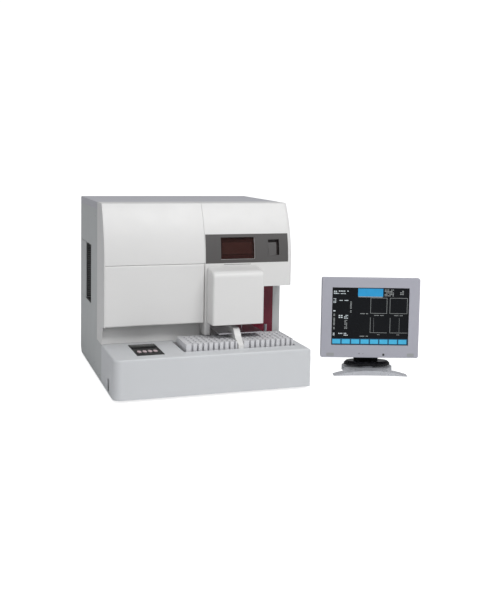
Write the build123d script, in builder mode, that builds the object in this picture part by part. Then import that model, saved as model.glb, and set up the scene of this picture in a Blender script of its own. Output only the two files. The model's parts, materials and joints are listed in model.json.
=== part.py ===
from build123d import *
from math import cos, radians, sin, sqrt
import os

os.makedirs("parts", exist_ok=True)

# Overall size of the analyser over its covers
body_width = 730
body_depth = 785
body_height = 675

# Loader base in front of the covers, and the deck on top of it
deck_height = 152
base_back = 258
base_wall = 3.5
base_left_corner = 28
base_right_corner = 10
deck_rim = 7
skirt_height = 10

# Rubber feet under the corners
foot_radius = 17
foot_inset = 62
foot_stud = 4

# Front covers: flat at the bottom, then leaning back on one large radius
cover_wall = 3
seam = 1
fit = 0.2
face_setback = 199
face_bend = 450
face_radius = 415
top_land = 96.7
crease_radius = 5
head_width = 352
door_top = 451.5
door_bottom = 226
door_return = 18
door_edge = 6
head_bottom = 358
head_corner = 16
head_leg = 21
leg_edge = 5
leg_clearance = 3
back_wall = 158
head_shoulder = 6
hinge_pin = 2.5
running_fit = 0.05

# Hand space under the front door
cove_top = 240
cove_back = 286
cove_middle = 196
cove_foot = 256
cove_gap = 2.5

# Dark band across the head, with its window and its latch pocket
band_bottom = 451
band_top = 560
band_right_margin = 17
band_thickness = 1.4
window_left = 63
window_width = 136
window_bottom = 465
window_top = 548
window_depth = 10
pocket_margin = 54
pocket_width = 45
pocket_bottom = 477
pocket_top = 538
pocket_depth = 15
latch_travel = 4

# Sheet-metal casing behind the front covers
sheet = 2
top_flange = 27
casing_edge = 4
rear_setback = 5
column_width = 30
column_front = 325

# Bay in the left side: a hand recess and a hinged service door
bay_length = 269
bay_door = 134
bay_margin = 8
bay_bottom = 263
bay_top = 497
bay_depth = 36
bay_gap = 2
service_door_wall = 4

# Power switch low on the left side
switch_place = 109
switch_height = 40
switch_width = 34
switch_length = 52
switch_depth = 14
switch_wall = 1.5
switch_gap = 3
rocker_pin = 2
rocker_pivot = 7.2
rocker_throw = 3.5

# Sample racks: two rows in a sunk tray, with a divider between them
right_slots = 9
slot_pitch = 20.1
rack_grip = 22.6
rack_end = 10
rack_depth = 28.4
rack_pitch = 28.8
rack_height = 46.5
racks_per_row = 5
rack_gap = 0.3
well_radius = 6.9
well_depth = 38
slit_width = 7.6
slit_foot = 6
tray_depth = 22
tray_right_margin = 31.8
tray_front = 66
tray_end_gap = 10
tray_front_gap = 6
tray_wall = 2
divider_width = 26
divider_drop = 10
deck_between = 70

# White bridge on the divider
bridge_width = 24
bridge_tip = 20
bridge_height = 219
bridge_nose = 168
nose_depth = 10

# Processing tower in front of the head
tower_offset = 5
tower_width = 201
tower_front = 117
tower_bottom = 231
tower_shoulder = 428
tower_top = 441
tower_front_radius = 24
tower_edge = 9
tower_pin_inset = 6.5
tower_pin = 1.5
tower_frame_wall = 3
gusset_gap = 4
tower_shelf = 243
rod_radius = 4
rod_spacing = 41
probe_travel = 45
needle_radius = 1.2
rotor_radius = 22
rotor_shaft = 5

# Plate under the tower, over the racks
plate_left = 65.5
plate_right = 108.5
plate_front = 133
plate_back = 292
plate_height = 193
plate_thickness = 3
plate_rim = 4

# Keypad let into the deck
keypad_left = 92
keypad_width = 100
keypad_front = 50
keypad_depth = 178
keypad_recess = 4
key_row = 112
key_pitch = 19.6
key_width = 14
key_length = 24
key_travel = 1.5
keys = 4

# Fluid panel behind the front door
panel_face = 298
panel_foot = 156
shelf_height = 448
syringe_first = 62
syringe_pitch = 48
syringe_radius = 10
syringe_bore = 8
syringe_length = 70
syringe_bottom = 330
plunger_travel = 30
chambers = 2
chamber_margin = 146
chamber_pitch = 62
chamber_radius = 17
valve_pitch = 34

# Fan in the rear panel
fan_across = 150
fan_height = 300
fan_size = 120
fan_depth = 25
fan_bore = 56
hub_radius = 20
fan_blades = 7

# Monitor: a 15-inch screen on a swivel and tilt stand, turned towards the user
monitor_across = 1049
monitor_back = 147
monitor_turn = 18
bezel_width = 391
bezel_depth = 20
bezel_side = 43.5
bezel_top = 40.5
bezel_foot = 52
bezel_corner = 7
screen_width = 304
screen_height = 228
screen_centre = 228.6
glass_setback = 4
shell_depth = 52
tilt_axis_back = 92
tilt_axis_height = 130
tilt_pin = 4
barrel_radius = 10
hub_back = 62
hub_width = 186
hub_depth = 84
stand_width = 294
stand_front = 50
stand_height = 22
button_radius = 4.5
button_across = 56
button_drop = 153

# Places worked out from the sizes
turn = radians(monitor_turn)
set_width = monitor_across + bezel_width / 2 * cos(turn) + bezel_depth * sin(turn)
left = -set_width / 2
front = -body_depth / 2
screen_left = -screen_width / 2
bezel_bottom = screen_centre - screen_height / 2 - bezel_foot
bezel_height = bezel_foot + screen_height + bezel_top
cover_split = body_width - head_width
face_lean = face_radius - sqrt(face_radius**2 - (body_height - face_bend) ** 2)
side_seam = face_setback + face_lean + top_land
tray_right = body_width - tray_right_margin
tray_back = tray_front + tray_front_gap + (racks_per_row + 1) * rack_pitch + tray_wall + 3
tray_floor = deck_height - tray_depth
right_length = rack_grip + (right_slots - 1) * slot_pitch + rack_end
right_rack = tray_right - tray_end_gap - right_length
divider_left = right_rack - rack_gap - divider_width
keypad_right = keypad_left + keypad_width
left_space = divider_left - rack_gap - tray_end_gap - deck_between - keypad_right
left_slots = int((left_space - rack_grip - rack_end) / slot_pitch) + 1
left_length = rack_grip + (left_slots - 1) * slot_pitch + rack_end
left_rack = divider_left - rack_gap - left_length
tray_left = left_rack - tray_end_gap
rack_front = tray_front + tray_front_gap
rack_bottom = tray_floor + rack_gap
rack_top = rack_bottom + rack_height
lane = divider_left + divider_width / 2
tower_left = lane + tower_offset - tower_width / 2
tower_right = tower_left + tower_width
frame_face = face_setback - fit - tower_frame_wall
probe_across = right_rack + rack_grip
probe_row = rack_front + 3 * rack_pitch + rack_depth / 2
tower_slope = (tower_top - tower_shoulder) / (face_setback - tower_front)
tower_back = face_setback - 2 * fit
hood_pin_back = tower_back - tower_pin_inset
hood_pin_height = (
    tower_shoulder
    + tower_slope * (hood_pin_back - tower_front)
    - tower_pin_inset * sqrt(1 + tower_slope**2)
)
casing_back = body_depth - rear_setback
bay_back = body_depth - bay_margin
bay_split = bay_back - bay_door
bay_front = bay_back - bay_length
right_column = body_width - column_width
chamber_first = cover_split - chamber_margin
syringe_space = chamber_first - chamber_radius - syringe_first - 24
syringes = int(syringe_space / syringe_pitch) + 1
door_pivot = (face_setback + door_edge, door_top - door_edge)


def level(height):
    """Plan plane: x from the analyser's left side, y from the base's front."""
    return Plane((left, front, height))


def side(across):
    """Side plane: its x runs to the back and its y upwards; it extrudes to the right."""
    return Plane((left + across, front, 0), x_dir=(0, 1, 0), z_dir=(1, 0, 0))


def face(depth):
    """Front plane: its x runs to the right and its y upwards; it extrudes to the front."""
    return Plane((left, front + depth, 0), x_dir=(1, 0, 0), z_dir=(0, -1, 0))


def desk(height):
    """Plan plane of the turned monitor: x along its screen, y behind it."""
    return Plane(
        (left + monitor_across, front + monitor_back, height),
        x_dir=(cos(turn), -sin(turn), 0),
        z_dir=(0, 0, 1),
    )


def screen(depth):
    """Plane along the monitor's front: its y runs upwards and it extrudes to the user."""
    x_axis = Vector(cos(turn), -sin(turn), 0)
    y_axis = Vector(sin(turn), cos(turn), 0)
    middle = Vector(left + monitor_across, front + monitor_back, screen_centre)
    return Plane(middle + y_axis * depth, x_dir=x_axis, z_dir=-y_axis)


def at(place, across, up):
    """The same plane, with its origin moved along its own two axes."""
    origin = place.from_local_coords((across, up, 0))
    return Plane(origin, x_dir=place.x_dir, z_dir=place.z_dir)


def span(x0, x1, y0, y1, mode=Mode.ADD):
    """Rectangle on the current sketch, from corner to corner."""
    with Locations(((x0 + x1) / 2, (y0 + y1) / 2)):
        Rectangle(x1 - x0, y1 - y0, mode=mode)


def block(x0, x1, y0, y1, z0, z1, mode=Mode.ADD):
    """Straight block of the current part, in the analyser's own distances."""
    with BuildSketch(level(z0)) as plan:
        span(x0, x1, y0, y1)
    extrude(plan.sketch, amount=z1 - z0, mode=mode)


def rod(place, radius, length, mode=Mode.ADD):
    """Round bar of the current part, on a plane and along its normal."""
    with BuildSketch(place) as circle:
        Circle(radius)
    extrude(circle.sketch, amount=length, mode=mode)


def face_y(height, inset=0):
    """How far behind the base's front the front covers' face lies at a height."""
    rise = max(0, height - face_bend)
    return face_setback + face_radius - sqrt((face_radius - inset) ** 2 - rise**2)


def face_points(bottom, top, inset=0):
    """Start, middle and end of the leaning part of the face between two heights."""
    heights = (bottom, (bottom + top) / 2, top)
    return [(face_y(height, inset), height) for height in heights]


def cover_section(across, bottom, top, back, inset=0):
    """Side section of a front cover: its face in front, straight behind."""
    low = max(bottom, face_bend)
    corners = [(face_y(top, inset), top), (back, top), (back, bottom)]
    corners.append((face_y(bottom, inset), bottom))
    if bottom < low:
        corners.append((face_y(low, inset), low))
    with BuildSketch(side(across)) as section:
        with BuildLine():
            ThreePointArc(*face_points(low, top, inset))
            Polyline(*corners)
        make_face()
    return section.sketch


def face_strip(across, bottom, top, outer, inner):
    """Side section of a plate that follows the leaning face between two insets."""
    with BuildSketch(side(across)) as section:
        with BuildLine():
            ThreePointArc(*face_points(bottom, top, outer))
            ThreePointArc(*face_points(bottom, top, inner))
            Line((face_y(bottom, outer), bottom), (face_y(bottom, inner), bottom))
            Line((face_y(top, outer), top), (face_y(top, inner), top))
        make_face()
    return section.sketch


# Sheet-metal tray under everything
tray_flange = 22
with BuildPart() as base_tray:
    for inset, floor, mode in ((0, 0, Mode.ADD), (sheet, sheet, Mode.SUBTRACT)):
        with BuildSketch(level(skirt_height + floor)) as plan:
            span(base_wall + fit + inset, body_width - base_wall - fit - inset,
                 base_wall + fit + inset, casing_back - fit - inset)
            corners = plan.vertices().group_by(Axis.Y)[0].sort_by(Axis.X)
            fillet(corners[0], base_left_corner - base_wall - fit - inset)
            fillet(corners[1], base_right_corner - base_wall - fit - inset)
        extrude(amount=tray_flange - floor, mode=mode)
    block(base_wall, base_wall + 2 * sheet, switch_place - switch_width / 2 - 2 * switch_wall,
          switch_place + switch_width / 2 + 2 * switch_wall, skirt_height + sheet,
          skirt_height + tray_flange, mode=Mode.SUBTRACT)
    with BuildSketch(level(skirt_height)):
        with Locations((body_width / 2, (foot_inset + casing_back - foot_inset) / 2)):
            with GridLocations(body_width - 2 * foot_inset, casing_back - 2 * foot_inset, 2, 2):
                Circle(foot_stud + fit)
    extrude(amount=sheet, mode=Mode.SUBTRACT)
    with BuildSketch(level(skirt_height)):
        with Locations((body_width / 2, casing_back * 0.6)):
            with GridLocations(34, 0, 8, 1):
                Rectangle(8, 90)
    extrude(amount=sheet, mode=Mode.SUBTRACT)
base_tray.part.label = "base_tray"

# Feet, each with a stud through the tray
with BuildPart() as rubber_feet:
    with Locations(level(0).offset(0)):
        with Locations((body_width / 2, casing_back / 2)):
            with GridLocations(body_width - 2 * foot_inset, casing_back - 2 * foot_inset, 2, 2):
                Cone(foot_radius - 2, foot_radius, skirt_height,
                     align=(Align.CENTER, Align.CENTER, Align.MIN))
                Cylinder(foot_stud, skirt_height + sheet + 2,
                         align=(Align.CENTER, Align.CENTER, Align.MIN))
rubber_feet.part.label = "rubber_feet"


def base_shape(inset, back):
    """Moulded loader base as a closed form, drawn in by an inset."""
    with BuildPart() as form:
        with BuildSketch(level(skirt_height)) as plan:
            span(inset, body_width - inset, inset, back)
            corners = plan.vertices().group_by(Axis.Y)[0].sort_by(Axis.X)
            fillet(corners[0], base_left_corner - inset)
            fillet(corners[1], base_right_corner - inset)
        extrude(plan.sketch, amount=deck_height - inset - skirt_height)
        rim = form.edges().group_by(Axis.Z)[-1].sort_by(Axis.Y)[:-1]
        fillet(rim, deck_rim - inset)
    return form.part


# Loader base: skirt on three sides and the deck, which runs on under the covers
deck_back = 275
with BuildPart() as base_housing:
    add(base_shape(0, base_back))
    add(base_shape(base_wall, base_back + 1), mode=Mode.SUBTRACT)
    block(cover_wall + fit, body_width - cover_wall - fit, base_back - 1, deck_back,
          deck_height - base_wall, deck_height)
    block(cover_split + seam, right_column - fit, deck_back, column_front + cover_wall,
          deck_height - base_wall, deck_height)
    block(tray_left, tray_right, tray_front, tray_back, deck_height - 2 * base_wall,
          deck_height, mode=Mode.SUBTRACT)
    block(keypad_left - fit, keypad_left + keypad_width + fit, keypad_front - fit,
          keypad_front + keypad_depth + fit, deck_height - 2 * base_wall, deck_height,
          mode=Mode.SUBTRACT)
    with BuildSketch(side(0)):
        with Locations((switch_place, switch_height)):
            SlotOverall(switch_length + 2 * switch_wall, switch_width + 2 * switch_wall,
                        rotation=90)
    extrude(amount=switch_depth + switch_wall)
    with BuildSketch(side(0)):
        with Locations((switch_place, switch_height)):
            SlotOverall(switch_length, switch_width, rotation=90)
    extrude(amount=switch_depth, mode=Mode.SUBTRACT)
    rod(at(face(switch_place + switch_width), rocker_pivot, switch_height),
        rocker_pin + running_fit, 2 * switch_width, mode=Mode.SUBTRACT)
    with BuildSketch(level(deck_height - base_wall)):
        with Locations((tray_right + 7, rack_front + 4)):
            Circle(2.5)
    extrude(amount=base_wall, mode=Mode.SUBTRACT)
base_housing.part.label = "base_housing"

# Sunk tray that the racks slide in, with the divider between the two rows
tray_lip = 8
tray_top = deck_height - base_wall
with BuildPart() as rack_tray:
    block(tray_left - tray_lip, tray_right + tray_lip, tray_front - tray_lip,
          tray_back + tray_lip, tray_top - tray_wall, tray_top)
    block(tray_left - tray_wall, tray_right + tray_wall, tray_front - tray_wall,
          tray_back + tray_wall, tray_floor - tray_wall, tray_top)
    block(tray_left, tray_right, tray_front, tray_back, tray_floor, tray_top, mode=Mode.SUBTRACT)
    block(divider_left, divider_left + divider_width, tray_front + nose_depth + 1, tray_back,
          tray_floor, rack_top - divider_drop)
    top_front = rack_tray.edges().filter_by(Axis.X).group_by(Axis.Z)[-1].sort_by(Axis.Y)[0]
    fillet(top_front, 3)
    with BuildSketch(level(tray_floor - tray_wall)):
        for start, length in ((left_rack, left_length), (right_rack, right_length)):
            with Locations((start + length / 2, (tray_front + tray_back) / 2)):
                with GridLocations(0.6 * length, 0, 2, 1):
                    Rectangle(6, 150)
    extrude(amount=tray_wall, mode=Mode.SUBTRACT)
rack_tray.part.label = "rack_tray"


def sample_rack(across, depth, slots):
    """One rack: a bar with a round well and a front slit for each tube, and a solid grip."""
    rack_length = rack_grip + (slots - 1) * slot_pitch + rack_end
    middle = (across + rack_length / 2, depth + rack_depth / 2)
    first_to_last = (slots - 1) * slot_pitch
    wells_middle = (across + rack_grip + first_to_last / 2, depth + rack_depth / 2)
    with BuildPart() as bar:
        with BuildSketch(level(rack_bottom)) as plan:
            with Locations(middle):
                Rectangle(rack_length, rack_depth)
        extrude(plan.sketch, amount=rack_height)
        chamfer(bar.edges().group_by(Axis.Z)[-1], 0.8)
        with BuildSketch(level(rack_top - well_depth)) as wells:
            with Locations(wells_middle):
                with GridLocations(slot_pitch, 0, slots, 1):
                    RegularPolygon(well_radius, 8, major_radius=False)
        extrude(wells.sketch, amount=well_depth, mode=Mode.SUBTRACT)
        with BuildSketch(level(rack_bottom + slit_foot)) as slits:
            with Locations((wells_middle[0], depth + rack_depth / 4)):
                with GridLocations(slot_pitch, 0, slots, 1):
                    Rectangle(slit_width, rack_depth / 2)
        extrude(slits.sketch, amount=rack_height, mode=Mode.SUBTRACT)
        block(across, across + rack_length, depth + rack_depth / 2 - 3,
              depth + rack_depth / 2 + 3, rack_bottom, rack_bottom + 3, mode=Mode.SUBTRACT)
    return bar.part


racks = {}
for row in range(racks_per_row):
    depth = rack_front + row * rack_pitch
    racks[f"rack_left_{row + 1}"] = sample_rack(left_rack, depth, left_slots)
    racks[f"rack_right_{row + 1}"] = sample_rack(right_rack, depth, right_slots)
for name, rack in racks.items():
    rack.label = name

# White bridge: a nose in front of the divider, and a ramp from there up to the tower
divider_top = rack_top - divider_drop
bridge_front = tray_front + fit
nose_back = bridge_front + nose_depth
bridge_back = frame_face - 8
with BuildPart() as centre_bridge:
    with BuildSketch(side(lane - bridge_width / 2)):
        with BuildLine():
            Polyline((bridge_back, divider_top), (nose_back, divider_top),
                     (nose_back, tray_floor + fit), (bridge_front, tray_floor + fit),
                     (bridge_front, bridge_nose - 4))
            Spline((bridge_front, bridge_nose - 4), (bridge_front + 6, bridge_nose + 1),
                   (bridge_front + 30, bridge_nose + 14), (bridge_front + 58, bridge_height - 8),
                   (bridge_front + 78, bridge_height))
            Polyline((bridge_front + 78, bridge_height), (bridge_back, bridge_height),
                     (bridge_back, divider_top))
        make_face()
    extrude(amount=bridge_width)
    with BuildSketch(level(tray_floor)):
        with BuildLine():
            Polyline((lane - bridge_tip / 2, bridge_front), (lane + bridge_tip / 2, bridge_front),
                     (lane + bridge_width / 2, bridge_front + 36),
                     (lane + bridge_width / 2, bridge_back), (lane - bridge_width / 2, bridge_back),
                     (lane - bridge_width / 2, bridge_front + 36), close=True)
        make_face()
    extrude(amount=bridge_height, mode=Mode.INTERSECT)
    fillet(centre_bridge.edges().filter_by(Axis.Y).group_by(Axis.Z)[-1], 4)
centre_bridge.part.label = "centre_bridge"

# Plate over the racks under the tower: raised rim, notch for the bridge, needle hole
notch = bridge_width / 2 + 2
with BuildPart() as transfer_plate:
    block(lane - plate_left, lane + plate_right, plate_front, plate_back,
          plate_height, plate_height + plate_rim)
    block(lane - plate_left + 2.5, lane + plate_right - 2.5, plate_front + 2.5, plate_back,
          plate_height + plate_thickness, plate_height + plate_rim, mode=Mode.SUBTRACT)
    block(lane - notch, lane + notch, plate_front, bridge_back + 3,
          plate_height, plate_height + plate_rim, mode=Mode.SUBTRACT)
    with BuildSketch(level(plate_height)):
        with Locations((probe_across, probe_row)):
            Circle(4.5)
    extrude(amount=plate_rim, mode=Mode.SUBTRACT)
    with BuildSketch(level(deck_height)):
        with Locations((lane + (plate_right - plate_left) / 2, (tray_back + plate_back) / 2 + 9)):
            with GridLocations(plate_left + plate_right - 24, 0, 3, 1):
                Circle(6)
    extrude(amount=plate_height - deck_height)
transfer_plate.part.label = "transfer_plate"

# Keypad: a shallow black pan, a display lens behind and a row of keys in front
key_first = keypad_left + keypad_width / 2 - key_pitch * (keys - 1) / 2 - 1
display_front = 172
with BuildPart() as keypad_panel:
    block(keypad_left, keypad_left + keypad_width, keypad_front, keypad_front + keypad_depth,
          deck_height - base_wall, deck_height - 1)
    block(keypad_left - 6, keypad_left + keypad_width + 6, keypad_front - 6,
          keypad_front + keypad_depth + 6, deck_height - base_wall - 3, deck_height - base_wall)
    block(keypad_left + 3, keypad_left + keypad_width - 3, display_front,
          keypad_front + keypad_depth - 3, deck_height - 1, deck_height + 1)
    with BuildSketch(level(deck_height - base_wall - 3)):
        for key in range(keys):
            with Locations((key_first + key * key_pitch, key_row)):
                SlotOverall(key_length + 0.8, key_width + 0.8, rotation=90)
    extrude(amount=base_wall + 3, mode=Mode.SUBTRACT)
keypad_panel.part.label = "keypad_panel"

key_caps = []
for key in range(keys):
    with BuildPart() as key_cap:
        with BuildSketch(level(deck_height - base_wall - 3)):
            with Locations((key_first + key * key_pitch, key_row)):
                SlotOverall(key_length, key_width, rotation=90)
        extrude(amount=base_wall + 3 + key_travel)
        chamfer(key_cap.edges().group_by(Axis.Z)[-1], 0.8)
    key_cap.part.label = f"keypad_key_{key + 1}"
    key_caps.append(key_cap.part)

# Rocker switch in its cup low on the left side, with its upper half pressed in
rocker_front = 1.5
rocker_back = rocker_pivot + rocker_pin + 0.3
with BuildPart() as power_rocker:
    with BuildSketch(side(rocker_front)):
        with Locations((switch_place, switch_height)):
            SlotOverall(switch_length - 2 * switch_gap, switch_width - 2 * switch_gap,
                        rotation=90)
    extrude(amount=rocker_back - rocker_front)
    with BuildSketch(face(switch_place + switch_width / 2)):
        with BuildLine():
            Polyline((rocker_front, switch_height - switch_length / 2 + switch_gap),
                     (rocker_front + rocker_throw, switch_height),
                     (rocker_front + rocker_throw, switch_height + switch_length / 2),
                     (0, switch_height + switch_length / 2),
                     (0, switch_height - switch_length / 2 + switch_gap), close=True)
        make_face()
    extrude(amount=switch_width, mode=Mode.SUBTRACT)
    rod(at(face(switch_place + switch_width / 2 + 1), rocker_pivot, switch_height),
        rocker_pin, switch_width + 2)
power_rocker.part.label = "power_rocker"

# Left end of the front covers: a flat cheek with the same outline
with BuildPart() as left_cheek:
    with BuildSketch(side(0)):
        with BuildLine():
            ThreePointArc(*face_points(face_bend, body_height))
            Polyline((face_y(body_height), body_height), (side_seam - seam / 2, body_height),
                     (side_seam - seam / 2, deck_height + fit), (cove_foot, deck_height + fit),
                     (cove_foot - 4, cove_middle), (cove_foot - 16, door_bottom - 4),
                     (face_setback, door_bottom), (face_setback, face_bend))
        make_face()
    extrude(amount=cover_wall)
    rod(at(side(cover_wall), *door_pivot), hinge_pin, 8)
left_cheek.part.label = "left_cheek"

# Upper front cover: a shell with a short return along its bottom edge
upper_left = cover_wall + fit
upper_right = cover_split - seam / 2
with BuildPart() as upper_front_cover:
    extrude(cover_section(upper_left, door_top + seam, body_height, side_seam - seam / 2),
            amount=upper_right - upper_left)
    crease = upper_front_cover.edges().filter_by(Axis.X).group_by(Axis.Z)[-1].sort_by(Axis.Y)[0]
    fillet(crease, crease_radius)
    extrude(cover_section(upper_left + cover_wall, door_top + seam + cover_wall,
                          body_height - cover_wall, side_seam, cover_wall),
            amount=upper_right - upper_left - 2 * cover_wall, mode=Mode.SUBTRACT)
    block(upper_left + cover_wall, upper_right - cover_wall, face_setback + 22, side_seam,
          door_top, door_top + 2 * cover_wall, mode=Mode.SUBTRACT)
upper_front_cover.part.label = "upper_front_cover"

# Lower front door: turns up about pins in its rounded top edge
door_left = cover_wall + 2 * fit
door_right = cover_split - seam
with BuildPart() as lower_front_door:
    block(door_left, door_right, face_setback, face_setback + door_return, door_bottom, door_top)
    front_edges = lower_front_door.faces().sort_by(Axis.Y)[0].edges()
    fillet(front_edges.sort_by(Axis.X)[1:], door_edge)
    block(door_left + cover_wall, door_right - cover_wall, face_setback + cover_wall,
          face_setback + door_return, door_bottom + cover_wall, door_top - cover_wall,
          mode=Mode.SUBTRACT)
    for rib in range(1, 4):
        across = door_left + (door_right - door_left) * rib / 4
        block(across - 1, across + 1, face_setback + cover_wall, face_setback + 9,
              door_bottom + cover_wall, door_top - cover_wall)
    rod(at(side(door_left), *door_pivot), hinge_pin + running_fit, door_right - door_left,
        mode=Mode.SUBTRACT)
lower_front_door.part.label = "lower_front_door"

# Cove under the door, which leaves room for the fingers
with BuildPart() as recess_panel:
    with BuildSketch(side(cover_wall + fit)):
        with BuildLine():
            ThreePointArc((cove_back, cove_top), (cove_foot + 6, cove_middle),
                          (cove_foot, deck_height + cove_gap))
            ThreePointArc((cove_back + cover_wall, cove_top),
                          (cove_foot + 6 + cover_wall, cove_middle),
                          (cove_foot + cover_wall, deck_height + cove_gap))
            Line((cove_back, cove_top), (cove_back + cover_wall, cove_top))
            Line((cove_foot, deck_height + cove_gap),
                 (cove_foot + cover_wall, deck_height + cove_gap))
        make_face()
    extrude(amount=cover_split - seam - cover_wall - fit)
    block(cover_wall + fit, cover_split - seam, cove_foot + 2, cove_foot + 8,
          deck_height, deck_height + cove_gap + 4)
    block(cover_wall + fit, cover_split - seam, cove_back + 1, panel_face,
          cove_top - 3, cove_top)
recess_panel.part.label = "recess_panel"


def head_shape(inset, bottom, back):
    """Right front cover as a closed form, drawn in by an inset."""
    with BuildPart() as form:
        start = cover_split + seam / 2 + inset
        end = body_width - inset
        extrude(cover_section(start, bottom, body_height - inset, back, inset),
                amount=end - start)
        right_end = form.faces().sort_by(Axis.X)[-1].edges()
        fillet(right_end.sort_by(Axis.Y)[:2], head_corner - inset)
        top_right = form.edges().filter_by(Axis.Y).group_by(Axis.Z)[-1].sort_by(Axis.X)[-1]
        fillet(top_right, head_shoulder - inset)
    return form.part


# Head cover over the right side, with the band, window and latch let into its face
band_left = cover_split + seam / 2 + 2
band_right = body_width - band_right_margin
window_start = cover_split + window_left
window_end = window_start + window_width
pocket_start = body_width - pocket_margin - pocket_width
pocket_end = pocket_start + pocket_width
leg_left = cover_split + seam / 2
leg_foot = rack_top + leg_clearance
stem_radius = 3
stem_height = pocket_bottom + 24
stem_place = at(face(face_y(stem_height, pocket_depth)), pocket_start + 17, stem_height)
with BuildPart() as head_cover:
    add(head_shape(0, head_bottom, side_seam - seam / 2))
    add(head_shape(cover_wall, head_bottom + cover_wall, side_seam), mode=Mode.SUBTRACT)
    extrude(face_strip(band_left, band_bottom, band_top, -1, band_thickness + fit),
            amount=band_right - band_left, mode=Mode.SUBTRACT)
    extrude(face_strip(window_start - cover_wall, window_bottom - cover_wall,
                       window_top + cover_wall, band_thickness + 2 * fit, window_depth),
            amount=window_width + 2 * cover_wall)
    extrude(face_strip(window_start, window_bottom, window_top, 0, window_depth + 1),
            amount=window_width, mode=Mode.SUBTRACT)
    extrude(face_strip(pocket_start - cover_wall, pocket_bottom - cover_wall,
                       pocket_top + cover_wall, band_thickness + 2 * fit,
                       pocket_depth + cover_wall),
            amount=pocket_width + 2 * cover_wall)
    extrude(face_strip(pocket_start, pocket_bottom, pocket_top, 0, pocket_depth),
            amount=pocket_width, mode=Mode.SUBTRACT)
    rod(stem_place.offset(-pocket_depth), stem_radius + running_fit, 2 * pocket_depth,
        mode=Mode.SUBTRACT)
    rod(at(side(cover_split + seam / 2 - 8), *door_pivot), hinge_pin, 8)
    for inset, mode in ((0, Mode.ADD), (cover_wall, Mode.SUBTRACT)):
        with BuildSketch(side(leg_left + inset)):
            with BuildLine():
                Polyline((face_setback + inset, leg_foot + inset),
                         (tray_back + 4 + inset, leg_foot + inset),
                         (tray_back + 4 + inset, deck_height + fit + inset),
                         (column_front + inset, deck_height + fit + inset),
                         (column_front + inset, head_bottom + cover_wall),
                         (face_setback + inset, head_bottom + cover_wall), close=True)
            make_face()
        extrude(amount=head_leg - 2 * inset, mode=mode)
    block(leg_left + head_leg - cover_wall, leg_left + back_wall, column_front,
          column_front + cover_wall, deck_height + fit, head_bottom + cover_wall)
head_cover.part.label = "head_cover"

# Dark band, a curved plate with openings for the window and the latch
with BuildPart() as fascia_band:
    extrude(face_strip(band_left + fit, band_bottom + fit, band_top - fit, 0, band_thickness),
            amount=band_right - band_left - 2 * fit)
    extrude(face_strip(window_start, window_bottom, window_top, -1, window_depth),
            amount=window_width, mode=Mode.SUBTRACT)
    extrude(face_strip(pocket_start, pocket_bottom, pocket_top, -1, pocket_depth),
            amount=pocket_width, mode=Mode.SUBTRACT)
fascia_band.part.label = "fascia_band"

# Tinted window, seated on the back of its frame
with BuildPart() as view_window:
    extrude(face_strip(window_start - 2, window_bottom - 2, window_top + 2,
                       window_depth, window_depth + 3),
            amount=window_width + 4)
view_window.part.label = "view_window"

# Latch button in the lower left of its pocket
with BuildPart() as latch_button:
    extrude(face_strip(pocket_start + 1, pocket_bottom + 1, pocket_top - 12,
                       1, pocket_depth - latch_travel - 1),
            amount=pocket_width - 13)
    chamfer(latch_button.edges().filter_by(Axis.X).group_by(Axis.Z)[-1].sort_by(Axis.Y)[0], 2.5)
    rod(stem_place.offset(-cover_wall - 2), stem_radius, cover_wall + latch_travel + 4)
latch_button.part.label = "latch_button"


def tower_shape(inset, bottom, back):
    """Tower cover as a closed form, drawn in by an inset."""
    near = tower_front + inset
    edge_drop = inset * sqrt(1 + tower_slope**2)
    with BuildPart() as form:
        with BuildSketch(side(tower_left + inset)) as section:
            with BuildLine():
                Polyline((near, bottom), (back, bottom),
                         (back, tower_shoulder - edge_drop + tower_slope * (back - tower_front)),
                         (near, tower_shoulder - edge_drop + tower_slope * inset), close=True)
            make_face()
        extrude(section.sketch, amount=tower_width - 2 * inset)
        brow = form.edges().filter_by(Axis.X).group_by(Axis.Z)[-2:]
        fillet(min(brow[0] + brow[1], key=lambda edge: edge.center().Y),
               tower_front_radius - inset)
        front_face = form.faces().filter_by(Axis.Y).sort_by(Axis.Y)[0]
        fillet(front_face.edges().filter_by(Axis.Z), tower_edge - inset)
        if inset == 0:
            rear_top = form.edges().filter_by(Axis.X).group_by(Axis.Z)[-1]
            fillet(rear_top.sort_by(Axis.Y)[-1], tower_pin_inset)
    return form.part


# Tower cover: a hood that turns up about pins in its top rear edge
hood_pivot = (hood_pin_back, hood_pin_height)
with BuildPart() as tower_cover:
    add(tower_shape(0, tower_bottom, tower_back))
    add(tower_shape(cover_wall, tower_bottom - 1, tower_back + 5), mode=Mode.SUBTRACT)
    rod(at(side(tower_left), *hood_pivot), tower_pin + running_fit, tower_width,
        mode=Mode.SUBTRACT)
tower_cover.part.label = "tower_cover"

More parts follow.
